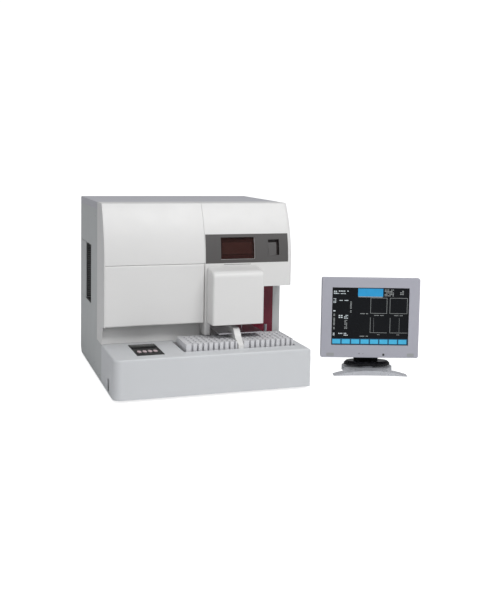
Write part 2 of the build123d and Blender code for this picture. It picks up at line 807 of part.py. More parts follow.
# Frame in the tower: back plate, side gussets and two shelves that hold the guide rods
gusset_left = tower_left + cover_wall + gusset_gap
gusset_right = tower_right - cover_wall - gusset_gap
top_shelf = tower_shoulder - 20
with BuildPart() as tower_frame:
    block(gusset_left, gusset_right, frame_face, face_setback - fit, tower_shelf, top_shelf + 8)
    for start in (gusset_left, gusset_right - tower_frame_wall):
        with BuildSketch(side(start)):
            with BuildLine():
                Polyline((frame_face, tower_shelf), (tower_front + 18, tower_shelf),
                         (tower_front + 18, tower_shelf + 14), (frame_face - 38, tower_shelf + 50),
                         (frame_face - 38, top_shelf - 30), (tower_front + 26, top_shelf - 6),
                         (tower_front + 26, top_shelf + 3), (frame_face, top_shelf + 3),
                         close=True)
            make_face()
        extrude(amount=tower_frame_wall)
        with BuildSketch(side(start)):
            with Locations(hood_pivot):
                Circle(tower_pin_inset - cover_wall - 0.5)
            span(hood_pivot[0] - 3, hood_pivot[0] + 2, top_shelf, hood_pivot[1])
        extrude(amount=tower_frame_wall)
    for height in (tower_shelf, top_shelf):
        block(gusset_left, gusset_right, tower_front + 26, frame_face, height, height + 3)
    for end in (tower_left + 0.5, gusset_right):
        rod(at(side(end), *hood_pivot), tower_pin, cover_wall + gusset_gap - 0.5)
    with BuildSketch(level(tower_shelf - 1)):
        with Locations((probe_across, probe_row)):
            Circle(6)
            with GridLocations(rod_spacing, 0, 2, 1):
                Circle(rod_radius + fit)
    extrude(amount=top_shelf + 3 - tower_shelf, mode=Mode.SUBTRACT)
    rotor_axis = (frame_face - 24, tower_shelf + 76)
    with BuildSketch(side(gusset_left - 1)):
        with Locations(rotor_axis):
            Circle(rotor_shaft + running_fit)
    extrude(amount=cover_wall + 20, mode=Mode.SUBTRACT)
tower_frame.part.label = "tower_frame"

# Two guide rods and a motor on the top shelf
with BuildPart() as guide_rods:
    with BuildSketch(level(tower_shelf - 2)):
        with Locations((probe_across, probe_row)):
            with GridLocations(rod_spacing, 0, 2, 1):
                Circle(rod_radius)
    extrude(amount=top_shelf + 2 - tower_shelf)
guide_rods.part.label = "guide_rods"

# Carriage on the rods, with the aspiration needle under it
carriage_low = 300
with BuildPart() as probe_carriage:
    with BuildSketch(level(carriage_low)):
        with Locations((probe_across, probe_row)):
            RectangleRounded(rod_spacing + 22, 24, 4)
            with GridLocations(rod_spacing, 0, 2, 1):
                Circle(rod_radius + running_fit, mode=Mode.SUBTRACT)
    extrude(amount=40)
    with BuildSketch(level(carriage_low - 12)):
        with Locations((probe_across, probe_row)):
            Circle(5)
    extrude(amount=12)
    with BuildSketch(level(plate_height + 12)):
        with Locations((probe_across, probe_row)):
            Circle(needle_radius)
    extrude(amount=carriage_low - plate_height - 12)
probe_carriage.part.label = "probe_carriage"

# Mixing rotor with two gripper fingers, on a shaft through the left gusset
rotor_place = gusset_left + tower_frame_wall + 1
with BuildPart() as mixing_rotor:
    with BuildSketch(side(rotor_place)):
        with Locations(rotor_axis):
            Circle(rotor_radius)
            with PolarLocations(rotor_radius - 8, 6):
                RegularPolygon(3.5, 6, mode=Mode.SUBTRACT)
    extrude(amount=10)
    with BuildSketch(side(rotor_place + 10)):
        with Locations(rotor_axis):
            with GridLocations(17, 0, 2, 1):
                Rectangle(5, 30)
    extrude(amount=26)
    with BuildSketch(side(gusset_left - 1)):
        with Locations(rotor_axis):
            Circle(rotor_shaft)
    extrude(amount=rotor_place - gusset_left + 1)
mixing_rotor.part.label = "mixing_rotor"

# Tinted shield across the back of the sampling bay
with BuildPart() as bay_shield:
    block(leg_left + back_wall + fit, right_column - fit, column_front,
          column_front + cover_wall, deck_height, head_bottom)
bay_shield.part.label = "bay_shield"


def casing_outline(place):
    """Draws a side panel's outline: low beside the base, higher behind the covers."""
    with BuildSketch(place) as outline:
        with BuildLine():
            Polyline((base_back + seam, skirt_height), (base_back + seam, deck_height - fit),
                     (side_seam + seam / 2, deck_height - fit),
                     (side_seam + seam / 2, body_height - top_flange - fit),
                     (body_depth, body_height - top_flange - fit),
                     (body_depth, skirt_height + 22), (body_depth - 22, skirt_height), close=True)
        make_face()
    return outline.sketch


# Left side panel with the bay sunk into it: recess in front, door space behind
with BuildPart() as left_side_panel:
    extrude(casing_outline(side(0)), amount=sheet)
    with BuildSketch(side(0)):
        span(bay_front - sheet, bay_back + sheet, bay_bottom - sheet, bay_top + sheet)
    extrude(amount=bay_depth + sheet)
    with BuildSketch(side(0)):
        span(bay_front, bay_back, bay_bottom, bay_top)
    extrude(amount=bay_depth, mode=Mode.SUBTRACT)
    with BuildSketch(side(sheet + service_door_wall)):
        span(bay_split, bay_split + sheet, bay_bottom, bay_top)
    extrude(amount=bay_depth - sheet - service_door_wall)
    hinge_place = Plane((left + sheet, front + bay_back - 5, bay_bottom),
                        x_dir=(1, 0, 0), z_dir=(0, 0, 1))
    rod(hinge_place, 1.2, bay_gap + 6)
    rod(hinge_place.offset(bay_top - bay_bottom - bay_gap - 6), 1.2, bay_gap + 6)
    rod(at(side(0), 416, 49), 4, sheet, mode=Mode.SUBTRACT)
left_side_panel.part.label = "left_side_panel"

# Service door in the bay, on two vertical pins near its rear edge
with BuildPart() as side_service_door:
    with BuildSketch(side(0)):
        span(bay_split + bay_gap, bay_back - bay_gap, bay_bottom + bay_gap, bay_top - bay_gap)
    extrude(amount=service_door_wall)
    chamfer(side_service_door.edges().filter_by(Axis.Z).sort_by(Axis.Y)[-2:], 1)
    rod(Plane((left + sheet, front + bay_back - 5, bay_bottom), z_dir=(0, 0, 1)),
        1.2 + running_fit, bay_top - bay_bottom, mode=Mode.SUBTRACT)
side_service_door.part.label = "side_service_door"

# Right side panel, with the boxed column beside the sampling bay
with BuildPart() as right_side_panel:
    extrude(casing_outline(side(body_width - sheet)), amount=sheet)
    block(body_width - sheet, body_width, column_front, side_seam + 1,
          deck_height - fit, head_bottom - fit)
    block(right_column, body_width, column_front, column_front + sheet, deck_height + fit,
          head_bottom - fit)
    block(right_column, right_column + sheet, column_front, side_seam + 30, deck_height + fit,
          head_bottom - fit)
right_side_panel.part.label = "right_side_panel"

# Top cover with flanges down both sides
with BuildPart() as top_cover:
    block(0, body_width, side_seam + seam / 2, body_depth, body_height - top_flange, body_height)
    fillet(top_cover.edges().filter_by(Axis.Y).group_by(Axis.Z)[-1], casing_edge)
    block(sheet, body_width - sheet, side_seam, body_depth - sheet,
          body_height - top_flange, body_height - sheet, mode=Mode.SUBTRACT)
    block(sheet, body_width - sheet, side_seam, body_depth - 2 * sheet,
          body_height - top_flange - 1, body_height - sheet, mode=Mode.SUBTRACT)
top_cover.part.label = "top_cover"

# Rear panel: fan grille, mains inlet opening, fluid ports and connector plate
inlet_across = body_width - 70
inlet_height = 70
port_across = body_width / 2
with BuildPart() as rear_panel:
    block(sheet + fit, body_width - sheet - fit, casing_back, casing_back + sheet,
          skirt_height, body_height - sheet)
    with BuildSketch(face(casing_back + sheet)):
        for step in range(-4, 5):
            height = step * 12
            chord = 2 * sqrt((fan_bore - 2) ** 2 - height**2)
            with Locations((fan_across, fan_height + height)):
                Rectangle(chord, 6)
        span(inlet_across - 14, inlet_across + 14, inlet_height - 10, inlet_height + 10)
    extrude(amount=sheet, mode=Mode.SUBTRACT)
    with BuildSketch(face(casing_back + sheet).offset(-8)):
        with Locations((port_across, 180)):
            with GridLocations(34, 0, 5, 1):
                RegularPolygon(7, 6)
                RegularPolygon(3, 8, mode=Mode.SUBTRACT)
    extrude(amount=8)
    with BuildSketch(face(casing_back + sheet).offset(-4)):
        with Locations((port_across, 250), (port_across, 300)):
            Rectangle(54, 13)
    extrude(amount=4)
rear_panel.part.label = "rear_panel"

# Mains inlet: a flanged socket with three blades
with BuildPart() as power_inlet:
    block(inlet_across - 24, inlet_across + 24, casing_back + sheet, casing_back + sheet + 3,
          inlet_height - 14, inlet_height + 14)
    block(inlet_across - 14 + fit, inlet_across + 14 - fit, casing_back - 16, casing_back + sheet,
          inlet_height - 10 + fit, inlet_height + 10 - fit)
    block(inlet_across - 12, inlet_across + 12, casing_back - 14, casing_back + sheet + 3,
          inlet_height - 8, inlet_height + 8, mode=Mode.SUBTRACT)
    for blade in (-7, 0, 7):
        block(inlet_across + blade - 1, inlet_across + blade + 1, casing_back - 15,
              casing_back - 2, inlet_height - 2, inlet_height + 2)
power_inlet.part.label = "power_inlet"

# Inner frame: a shelf across the casing and a partition down to the tray
partition = cover_split + 4
with BuildPart() as main_frame:
    block(sheet + fit, body_width - sheet - fit, side_seam + seam, casing_back - fit,
          shelf_height - sheet, shelf_height)
    block(cover_wall + 2 * fit, cover_split - 2, panel_face + sheet, side_seam + seam,
          shelf_height - sheet, shelf_height)
    block(sheet, bay_depth + 2 * sheet, bay_front - 2 * sheet, casing_back,
          shelf_height - sheet, shelf_height, mode=Mode.SUBTRACT)
    block(partition, partition + sheet, side_seam + seam, casing_back - sheet - 2 * fit,
          skirt_height + sheet, shelf_height - sheet)
main_frame.part.label = "main_frame"

# Fluid panel behind the door, which carries the syringes, chambers and valves
with BuildPart() as flow_panel:
    block(cover_wall + fit, cover_split - 2, panel_face, panel_face + sheet,
          panel_foot, shelf_height)
    with BuildSketch(face(panel_face + sheet)):
        for step in range(int((cover_split - 58) / 52) + 1):
            with Locations((30 + step * 52, 190)):
                Rectangle(36, 8)
    extrude(amount=sheet, mode=Mode.SUBTRACT)
flow_panel.part.label = "flow_panel"

# Glass syringe barrels in their clamps
syringe_axis = panel_face - 24
places = [(syringe_first + step * syringe_pitch, syringe_axis) for step in range(syringes)]
with BuildPart() as syringe_barrels:
    with BuildSketch(level(syringe_bottom)):
        with Locations(*places):
            Circle(syringe_radius)
            Circle(syringe_bore, mode=Mode.SUBTRACT)
    extrude(amount=syringe_length)
    for across, depth in places:
        block(across - 14, across + 14, depth - 12, panel_face, syringe_bottom + syringe_length,
              syringe_bottom + syringe_length + 14)
        block(across - 14, across + 14, depth - 5, panel_face, syringe_bottom + 2,
              syringe_bottom + 12)
        rod(at(level(syringe_bottom), across, depth), syringe_bore, 20, mode=Mode.SUBTRACT)
        rod(at(level(syringe_bottom + syringe_length + 14), across, depth), 4, 9)
syringe_barrels.part.label = "syringe_barrels"

plungers = []
piston_top = syringe_bottom + syringe_length - 4
for step, (across, depth) in enumerate(places):
    with BuildPart() as plunger:
        rod(at(level(piston_top - 8), across, depth), syringe_bore - running_fit, 8)
        rod(at(level(syringe_bottom - 34), across, depth), 2.5, piston_top - syringe_bottom + 30)
        rod(at(level(syringe_bottom - 40), across, depth), 9, 6)
    plunger.part.label = f"syringe_plunger_{step + 1}"
    plungers.append(plunger.part)

# Two mixing chambers with conical bottoms, on arms from the panel
with BuildPart() as mixing_chambers:
    for step in range(chambers):
        across = chamber_first + step * chamber_pitch
        with BuildSketch(face(panel_face - chamber_radius - 8)) as profile:
            with BuildLine():
                Polyline((across, 342), (across + 4, 342), (across + 5, 350),
                         (across + chamber_radius, 366), (across + chamber_radius, 404),
                         (across + chamber_radius - 2, 404), (across + chamber_radius - 2, 367),
                         (across + 3, 352), (across, 352), close=True)
            make_face()
        axis = Axis((left + across, front + panel_face - chamber_radius - 8, 0), (0, 0, 1))
        revolve(profile.sketch, axis=axis)
        block(across - 6, across + 6, panel_face - 9, panel_face, 372, 398)
mixing_chambers.part.label = "mixing_chambers"

# Pinch valves: square bodies with round noses
with BuildPart() as pinch_valves:
    with BuildSketch(face(panel_face)):
        with Locations((chamber_first + chamber_pitch / 2, 286)):
            with GridLocations(valve_pitch, valve_pitch, 4, 2):
                Rectangle(24, 24)
    extrude(amount=22)
    with BuildSketch(face(panel_face - 22)):
        with Locations((chamber_first + chamber_pitch / 2, 286)):
            with GridLocations(valve_pitch, valve_pitch, 4, 2):
                RegularPolygon(7, 12)
    extrude(amount=9)
pinch_valves.part.label = "pinch_valves"

# Optical bench on the shelf: base plate, laser, beam block and two detectors
with BuildPart() as optical_bench:
    block(60, 340, 400, 560, shelf_height, shelf_height + 12)
    block(215, 275, 440, 500, shelf_height + 12, shelf_height + 72)
    rod(at(side(75), 470, shelf_height + 42), 20, 140)
    rod(at(side(275), 470, shelf_height + 42), 13, 45)
    rod(at(face(440), 245, shelf_height + 42), 13, 30)
    for across in (85, 185):
        block(across, across + 14, 452, 488, shelf_height + 12, shelf_height + 30)
optical_bench.part.label = "optical_bench"

# Power supply on the tray, with vent slots in its top
with BuildPart() as power_supply:
    block(body_width - 190, body_width - 30, casing_back - 190, casing_back - 24,
          skirt_height + sheet + 4, 130)
    with BuildSketch(level(skirt_height + sheet)):
        with Locations((body_width - 110, casing_back - 107)):
            with GridLocations(130, 130, 2, 2):
                Rectangle(10, 10)
    extrude(amount=4)
    with BuildSketch(level(130)):
        with Locations((body_width - 110, casing_back - 107)):
            with GridLocations(14, 0, 8, 1):
                Rectangle(6, 110)
    extrude(amount=-4, mode=Mode.SUBTRACT)
power_supply.part.label = "power_supply"

# Square fan frame on the rear panel, and its rotor
fan_centre = Plane((left + fan_across, front + casing_back, fan_height),
                   x_dir=(1, 0, 0), z_dir=(0, -1, 0))
with BuildPart() as fan_housing:
    with BuildSketch(fan_centre):
        RectangleRounded(fan_size, fan_size, 6)
        Circle(fan_bore, mode=Mode.SUBTRACT)
    extrude(amount=fan_depth)
    with BuildSketch(fan_centre):
        Circle(hub_radius)
        with PolarLocations(0, 3):
            with Locations((fan_bore / 2, 0)):
                Rectangle(fan_bore + 2, 5)
    extrude(amount=3)
    with BuildSketch(fan_centre.offset(3)):
        Circle(4)
    extrude(amount=fan_depth - 8)
fan_housing.part.label = "fan_housing"

with BuildPart() as fan_rotor:
    with BuildSketch(fan_centre.offset(4)):
        Circle(hub_radius)
        Circle(4 + running_fit, mode=Mode.SUBTRACT)
    extrude(amount=fan_depth - 6)
    with Locations(fan_centre.offset(fan_depth / 2 + 1)):
        with PolarLocations(hub_radius + 16, fan_blades):
            Box(34, 2, 17, rotation=(35, 0, 0))
fan_rotor.part.label = "fan_rotor"

# Monitor bezel: a frame with a sloping lip round the screen
opening = 1.5
with BuildPart() as monitor_bezel:
    middle_shift = (bezel_top - bezel_foot) / 2
    with BuildSketch(screen(0)):
        with Locations((0, middle_shift)):
            RectangleRounded(bezel_width, bezel_height, bezel_corner)
    extrude(amount=-bezel_depth)
    rim = monitor_bezel.edges().filter_by(lambda edge: screen(0).to_local_coords(edge).center().Z > -0.1)
    chamfer(rim, 2)
    with BuildSketch(screen(0)):
        Rectangle(screen_width + 2 * opening, screen_height + 2 * opening)
    extrude(amount=-bezel_depth, mode=Mode.SUBTRACT)
    with BuildSketch(screen(glass_setback)):
        with Locations((0, middle_shift)):
            RectangleRounded(bezel_width - 6, bezel_height - 6, bezel_corner - 3)
    extrude(amount=-bezel_depth, mode=Mode.SUBTRACT)
    with BuildSketch(screen(0)):
        with Locations((button_across, -button_drop)):
            Circle(button_radius + 0.1)
    extrude(amount=-bezel_depth, mode=Mode.SUBTRACT)
monitor_bezel.part.label = "monitor_bezel"

# Display panel behind the bezel
with BuildPart() as display_panel:
    with BuildSketch(screen(glass_setback)):
        Rectangle(screen_width + 12, screen_height + 12)
    extrude(amount=-(bezel_depth - glass_setback))
display_panel.part.label = "display_panel"

# Rear shell: narrows to the back, hollow, with ears for the tilt hinge
ear_inner = 50
with BuildPart() as monitor_shell:
    for inset, mode in ((0, Mode.ADD), (cover_wall, Mode.SUBTRACT)):
        with BuildSketch(screen(bezel_depth)):
            with Locations((0, middle_shift)):
                Rectangle(bezel_width - 2 - 2 * inset, bezel_height - 2 - 2 * inset)
        with BuildSketch(screen(bezel_depth + shell_depth - inset)):
            with Locations((0, middle_shift)):
                Rectangle(bezel_width - 130 - 2 * inset, bezel_height - 110 - 2 * inset)
        loft(mode=mode)
    hinge_level = tilt_axis_height - screen_centre
    for end in (-1, 1):
        ear_middle = end * (ear_inner + 4)
        with BuildSketch(screen(bezel_depth + shell_depth - 2)):
            with Locations((ear_middle, hinge_level)):
                Rectangle(8, 30)
        extrude(amount=-(tilt_axis_back - bezel_depth - shell_depth + 2 + barrel_radius))
    with BuildSketch(screen(bezel_depth + shell_depth)):
        with Locations((0, 40)):
            with GridLocations(0, 9, 1, 7):
                Rectangle(150, 4)
    extrude(amount=4, mode=Mode.SUBTRACT)
    hinge_line = Plane(screen(tilt_axis_back).origin + Vector(0, 0, hinge_level),
                       x_dir=(0, 0, 1), z_dir=screen(0).x_dir)
    rod(hinge_line.offset(-80), tilt_pin + running_fit, 160, mode=Mode.SUBTRACT)
monitor_shell.part.label = "monitor_shell"

# Power button of the monitor
with BuildPart() as display_button:
    with BuildSketch(screen(-1.5)):
        with Locations((button_across, -button_drop)):
            Circle(button_radius)
    extrude(amount=-6)
    chamfer(display_button.edges().sort_by(Axis.Y)[0], 0.5)
display_button.part.label = "display_button"

# Stand: a wide low bow with a plate behind it
with BuildPart() as stand_base:
    with BuildSketch(screen(-stand_front)):
        with BuildLine():
            floor = -screen_centre
            ThreePointArc((-stand_width / 2, floor), (0, floor + stand_height),
                          (stand_width / 2, floor))
            ThreePointArc((-stand_width / 2, floor), (0, floor + 4), (stand_width / 2, floor))
        make_face()
    extrude(amount=-46)
    with BuildSketch(desk(0)):
        with Locations((0, hub_back)):
            Ellipse(hub_width / 2 + 8, hub_depth / 2 + 34)
    extrude(amount=stand_height - 6)
    with BuildSketch(desk(stand_height - 6)):
        with Locations((0, hub_back)):
            Circle(34)
    extrude(amount=6)
stand_base.part.label = "stand_base"

# Swivelling hub and neck, with the hinge barrel at its top
with BuildPart() as stand_neck:
    with BuildSketch(desk(stand_height + 0.3)):
        with Locations((0, hub_back)):
            Ellipse(hub_width / 2, hub_depth / 2)
    extrude(amount=16)
    chamfer(stand_neck.edges().group_by(Axis.Z)[-1], 9)
    with BuildSketch(desk(stand_height + 10)):
        with Locations((0, tilt_axis_back)):
            RectangleRounded(2 * ear_inner - 1, 14, 4)
    extrude(amount=tilt_axis_height - stand_height - 10)
    rod(hinge_line.offset(-ear_inner + 0.5), barrel_radius, 2 * ear_inner - 1)
    rod(hinge_line.offset(-ear_inner - 8), tilt_pin, 2 * ear_inner + 16)
stand_neck.part.label = "stand_neck"

pieces = [
    base_tray, rubber_feet, base_housing, rack_tray, centre_bridge, transfer_plate,
    keypad_panel, power_rocker, left_cheek, upper_front_cover, lower_front_door,
    recess_panel, head_cover, fascia_band, view_window, latch_button, tower_cover,
    tower_frame, guide_rods, probe_carriage, mixing_rotor, bay_shield, left_side_panel,
    side_service_door, right_side_panel, top_cover, rear_panel, power_inlet, main_frame,
    flow_panel, syringe_barrels, mixing_chambers, pinch_valves, optical_bench,
    power_supply, fan_housing, fan_rotor, monitor_bezel, display_panel, monitor_shell,
    display_button, stand_base, stand_neck,
]
solids = [piece.part for piece in pieces] + key_caps + plungers + list(racks.values())
for solid in solids:
    export_step(solid, f"parts/{solid.label}.step")
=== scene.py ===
import bpy
import bmesh
import json
from math import cos, pi, radians, sin, sqrt
from mathutils import Matrix, Vector


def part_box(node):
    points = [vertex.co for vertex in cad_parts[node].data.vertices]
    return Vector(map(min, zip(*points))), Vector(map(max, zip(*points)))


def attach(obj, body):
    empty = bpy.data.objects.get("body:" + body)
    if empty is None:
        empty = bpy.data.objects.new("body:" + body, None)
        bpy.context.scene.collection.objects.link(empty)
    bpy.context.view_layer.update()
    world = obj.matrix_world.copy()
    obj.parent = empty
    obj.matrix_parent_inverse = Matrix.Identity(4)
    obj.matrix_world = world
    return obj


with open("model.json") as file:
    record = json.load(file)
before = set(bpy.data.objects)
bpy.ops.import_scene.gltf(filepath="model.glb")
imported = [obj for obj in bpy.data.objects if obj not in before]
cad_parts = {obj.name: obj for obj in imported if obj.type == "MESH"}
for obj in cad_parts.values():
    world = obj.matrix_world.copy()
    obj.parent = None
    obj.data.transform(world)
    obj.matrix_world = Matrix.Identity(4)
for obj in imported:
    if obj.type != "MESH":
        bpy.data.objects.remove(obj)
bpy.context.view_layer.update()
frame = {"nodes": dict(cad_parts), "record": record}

# The analyser's own distances are in millimetres from its left side, its base's front and the bench
side_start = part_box("left_side_panel")[0].x * 1000
base_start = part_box("base_housing")[0].y * 1000
monitor_across = 1049
monitor_back = 147
monitor_turn = radians(18)
face_setback = 199
face_bend = 450
face_radius = 415
body_width = 730
rear_face = 782
millimetre = 0.001


def analyser_frame():
    """Matrix that carries the analyser's millimetres into the row frame."""
    corner = Matrix.Translation((side_start * millimetre, base_start * millimetre, 0))
    return corner @ Matrix.Scale(millimetre, 4)


def monitor_frame():
    """Matrix that carries the turned monitor's millimetres into the row frame."""
    return (
        analyser_frame()
        @ Matrix.Translation((monitor_across, monitor_back, 0))
        @ Matrix.Rotation(-monitor_turn, 4, "Z")
    )


def face_depth(height, inset=0):
    """How far behind the base's front the front covers' face lies at a height."""
    rise = max(0, height - face_bend)
    return face_setback + face_radius - sqrt((face_radius - inset) ** 2 - rise**2)


# Effects that several finishes share

def effect(name, inputs, outputs):
    """Empty shader node group with named sockets."""
    group = bpy.data.node_groups.new(name, "ShaderNodeTree")
    for socket, kind, value in inputs:
        made = group.interface.new_socket(socket, in_out="INPUT", socket_type=kind)
        made.default_value = value
    for socket, kind in outputs:
        group.interface.new_socket(socket, in_out="OUTPUT", socket_type=kind)
    start = group.nodes.new("NodeGroupInput")
    end = group.nodes.new("NodeGroupOutput")
    return group, start, end


def calc(group, operation, first, second):
    """Math node with numbers or sockets on its two inputs."""
    node = group.nodes.new("ShaderNodeMath")
    node.operation = operation
    for socket, value in zip(node.inputs, (first, second)):
        if isinstance(value, (int, float)):
            socket.default_value = value
        else:
            group.links.new(value, socket)
    return node.outputs[0]


def noise(group, vector, scale, detail=2.0, roughness=0.5):
    """Noise texture on a vector; its scale is a number or a socket."""
    node = group.nodes.new("ShaderNodeTexNoise")
    group.links.new(vector, node.inputs["Vector"])
    if isinstance(scale, (int, float)):
        node.inputs["Scale"].default_value = scale
    else:
        group.links.new(scale, node.inputs["Scale"])
    node.inputs["Detail"].default_value = detail
    node.inputs["Roughness"].default_value = roughness
    return node.outputs["Fac"]


def ranged(group, value, low, high, new_low, new_high):
    """Map Range node, clamped, with numbers or sockets for its new range."""
    node = group.nodes.new("ShaderNodeMapRange")
    group.links.new(value, node.inputs["Value"])
    node.inputs["From Min"].default_value = low
    node.inputs["From Max"].default_value = high
    for socket, end in (("To Min", new_low), ("To Max", new_high)):
        if isinstance(end, (int, float)):
            node.inputs[socket].default_value = end
        else:
            group.links.new(end, node.inputs[socket])
    return node.outputs["Result"]


def mix_colour(group, factor, first, second, blend="MIX"):
    """Mix node for two colours, each a socket or a colour."""
    node = group.nodes.new("ShaderNodeMix")
    node.data_type = "RGBA"
    node.blend_type = blend
    if isinstance(factor, (int, float)):
        node.inputs[0].default_value = factor
    else:
        group.links.new(factor, node.inputs[0])
    for socket, value in ((node.inputs[6], first), (node.inputs[7], second)):
        if isinstance(value, (tuple, list)):
            socket.default_value = (*value[:3], 1)
        else:
            group.links.new(value, socket)
    return node.outputs[2]


def handling_wear():
    """Tone drift, rubbed edges and settled dust, as masks and a worn colour."""
    group, start, end = effect(
        "handling wear",
        [
            ("Colour", "NodeSocketColor", (0.8, 0.8, 0.8, 1)),
            ("Rubbed Colour", "NodeSocketColor", (1, 1, 1, 1)),
            ("Dust Colour", "NodeSocketColor", (0.6, 0.58, 0.54, 1)),
            ("Tone Drift", "NodeSocketFloat", 0.04),
            ("Rub Amount", "NodeSocketFloat", 0.25),
            ("Dust Amount", "NodeSocketFloat", 0.1),
            ("Edge Width", "NodeSocketFloat", 0.0012),
        ],
        [("Colour", "NodeSocketColor"), ("Rub", "NodeSocketFloat"), ("Smudge", "NodeSocketFloat")],
    )
    cloud_scale = 5.0
    scuff_scale = 60.0
    dust_scale = 24.0
    smudge_scale = 14.0
    least_dust = 0.12
    place = group.nodes.new("ShaderNodeTexCoord").outputs["Object"]
    cloud = noise(group, place, cloud_scale, 3.0, 0.55)
    drift = calc(group, "MULTIPLY", calc(group, "SUBTRACT", cloud, 0.5), start.outputs["Tone Drift"])
    tone = calc(group, "ADD", drift, 1.0)
    shade = group.nodes.new("ShaderNodeCombineColor")
    for channel in range(3):
        group.links.new(tone, shade.inputs[channel])
    drifted = mix_colour(group, 1.0, start.outputs["Colour"], shade.outputs[0], "MULTIPLY")
    rounded = group.nodes.new("ShaderNodeBevel")
    rounded.samples = 4
    group.links.new(start.outputs["Edge Width"], rounded.inputs["Radius"])
    surface = group.nodes.new("ShaderNodeNewGeometry")
    turned = group.nodes.new("ShaderNodeVectorMath")
    turned.operation = "DOT_PRODUCT"
    group.links.new(rounded.outputs[0], turned.inputs[0])
    group.links.new(surface.outputs["Normal"], turned.inputs[1])
    edge = ranged(group, turned.outputs["Value"], 0.995, 0.85, 0.0, 1.0)
    scuffs = ranged(group, noise(group, place, scuff_scale, 4.0, 0.6), 0.38, 0.62, 0.35, 1.0)
    rub = calc(group, "MULTIPLY", edge, scuffs)
    rub = calc(group, "MULTIPLY", rub, start.outputs["Rub Amount"])
    rubbed = mix_colour(group, rub, drifted, start.outputs["Rubbed Colour"])
    upward = group.nodes.new("ShaderNodeSeparateXYZ")
    group.links.new(surface.outputs["Normal"], upward.inputs[0])
    settled = ranged(group, noise(group, place, dust_scale, 5.0, 0.65), 0.42, 0.72, 0.0, 1.0)
    level_part = calc(group, "MAXIMUM", upward.outputs["Z"], least_dust)
    dust = calc(group, "MULTIPLY", settled, level_part)
    dust = calc(group, "MULTIPLY", dust, start.outputs["Dust Amount"])
    group.links.new(
        mix_colour(group, dust, rubbed, start.outputs["Dust Colour"]), end.inputs["Colour"]
    )
    group.links.new(rub, end.inputs["Rub"])
    smudge = noise(group, place, smudge_scale, 4.0, 0.6)
    group.links.new(smudge, end.inputs["Smudge"])
    return group


def moulded_grain():
    """Fine spark-eroded texture of moulded plastic, as a height."""
    group, start, end = effect(
        "moulded grain",
        [("Grain Scale", "NodeSocketFloat", 900.0), ("Waviness", "NodeSocketFloat", 0.25)],
        [("Height", "NodeSocketFloat")],
    )
    place = group.nodes.new("ShaderNodeTexCoord").outputs["Object"]
    cells = group.nodes.new("ShaderNodeTexVoronoi")
    cells.feature = "SMOOTH_F1"
    group.links.new(place, cells.inputs["Vector"])
    group.links.new(start.outputs["Grain Scale"], cells.inputs["Scale"])
    fine = noise(group, place, start.outputs["Grain Scale"], 3.0, 0.6)
    grain = calc(group, "ADD", cells.outputs["Distance"], fine)
    wave_scale = 9.0
    wave = calc(group, "MULTIPLY", noise(group, place, wave_scale, 2.0, 0.5),
                start.outputs["Waviness"])
    group.links.new(calc(group, "ADD", grain, wave), end.inputs["Height"])
    return group


def brushed_lines():
    """Drawn lines in metal along one axis, as a height and a mask."""
    group, start, end = effect(
        "brushed lines",
        [("Fineness", "NodeSocketFloat", 500.0), ("Direction", "NodeSocketVector", (0.02, 1.0, 1.0))],
        [("Height", "NodeSocketFloat"), ("Mask", "NodeSocketFloat")],
    )
    place = group.nodes.new("ShaderNodeTexCoord").outputs["Object"]
    drawn = group.nodes.new("ShaderNodeVectorMath")
    drawn.operation = "MULTIPLY"
    group.links.new(place, drawn.inputs[0])
    group.links.new(start.outputs["Direction"], drawn.inputs[1])
    lines = noise(group, drawn.outputs["Vector"], start.outputs["Fineness"], 3.0, 0.6)
    group.links.new(lines, end.inputs["Height"])
    group.links.new(ranged(group, lines, 0.35, 0.65, 0.0, 1.0), end.inputs["Mask"])
    return group


wear_effect = handling_wear()
grain_effect = moulded_grain()
brush_effect = brushed_lines()


# Finishes of the CAD nodes, by their material slots

def bare_finish(name):
    """New material with its shader and output."""
    finish = bpy.data.materials.new(name)
    finish.use_nodes = True
    tree = finish.node_tree
    tree.nodes.clear()
    shader = tree.nodes.new("ShaderNodeBsdfPrincipled")
    output = tree.nodes.new("ShaderNodeOutputMaterial")
    tree.links.new(shader.outputs[0], output.inputs["Surface"])
    return finish, tree, shader


def placed(tree, effect_group, **values):
    """Node group placed in a material with its own values."""
    node = tree.nodes.new("ShaderNodeGroup")
    node.node_tree = effect_group
    for socket, value in values.items():
        node.inputs[socket.replace("_", " ")].default_value = value
    return node


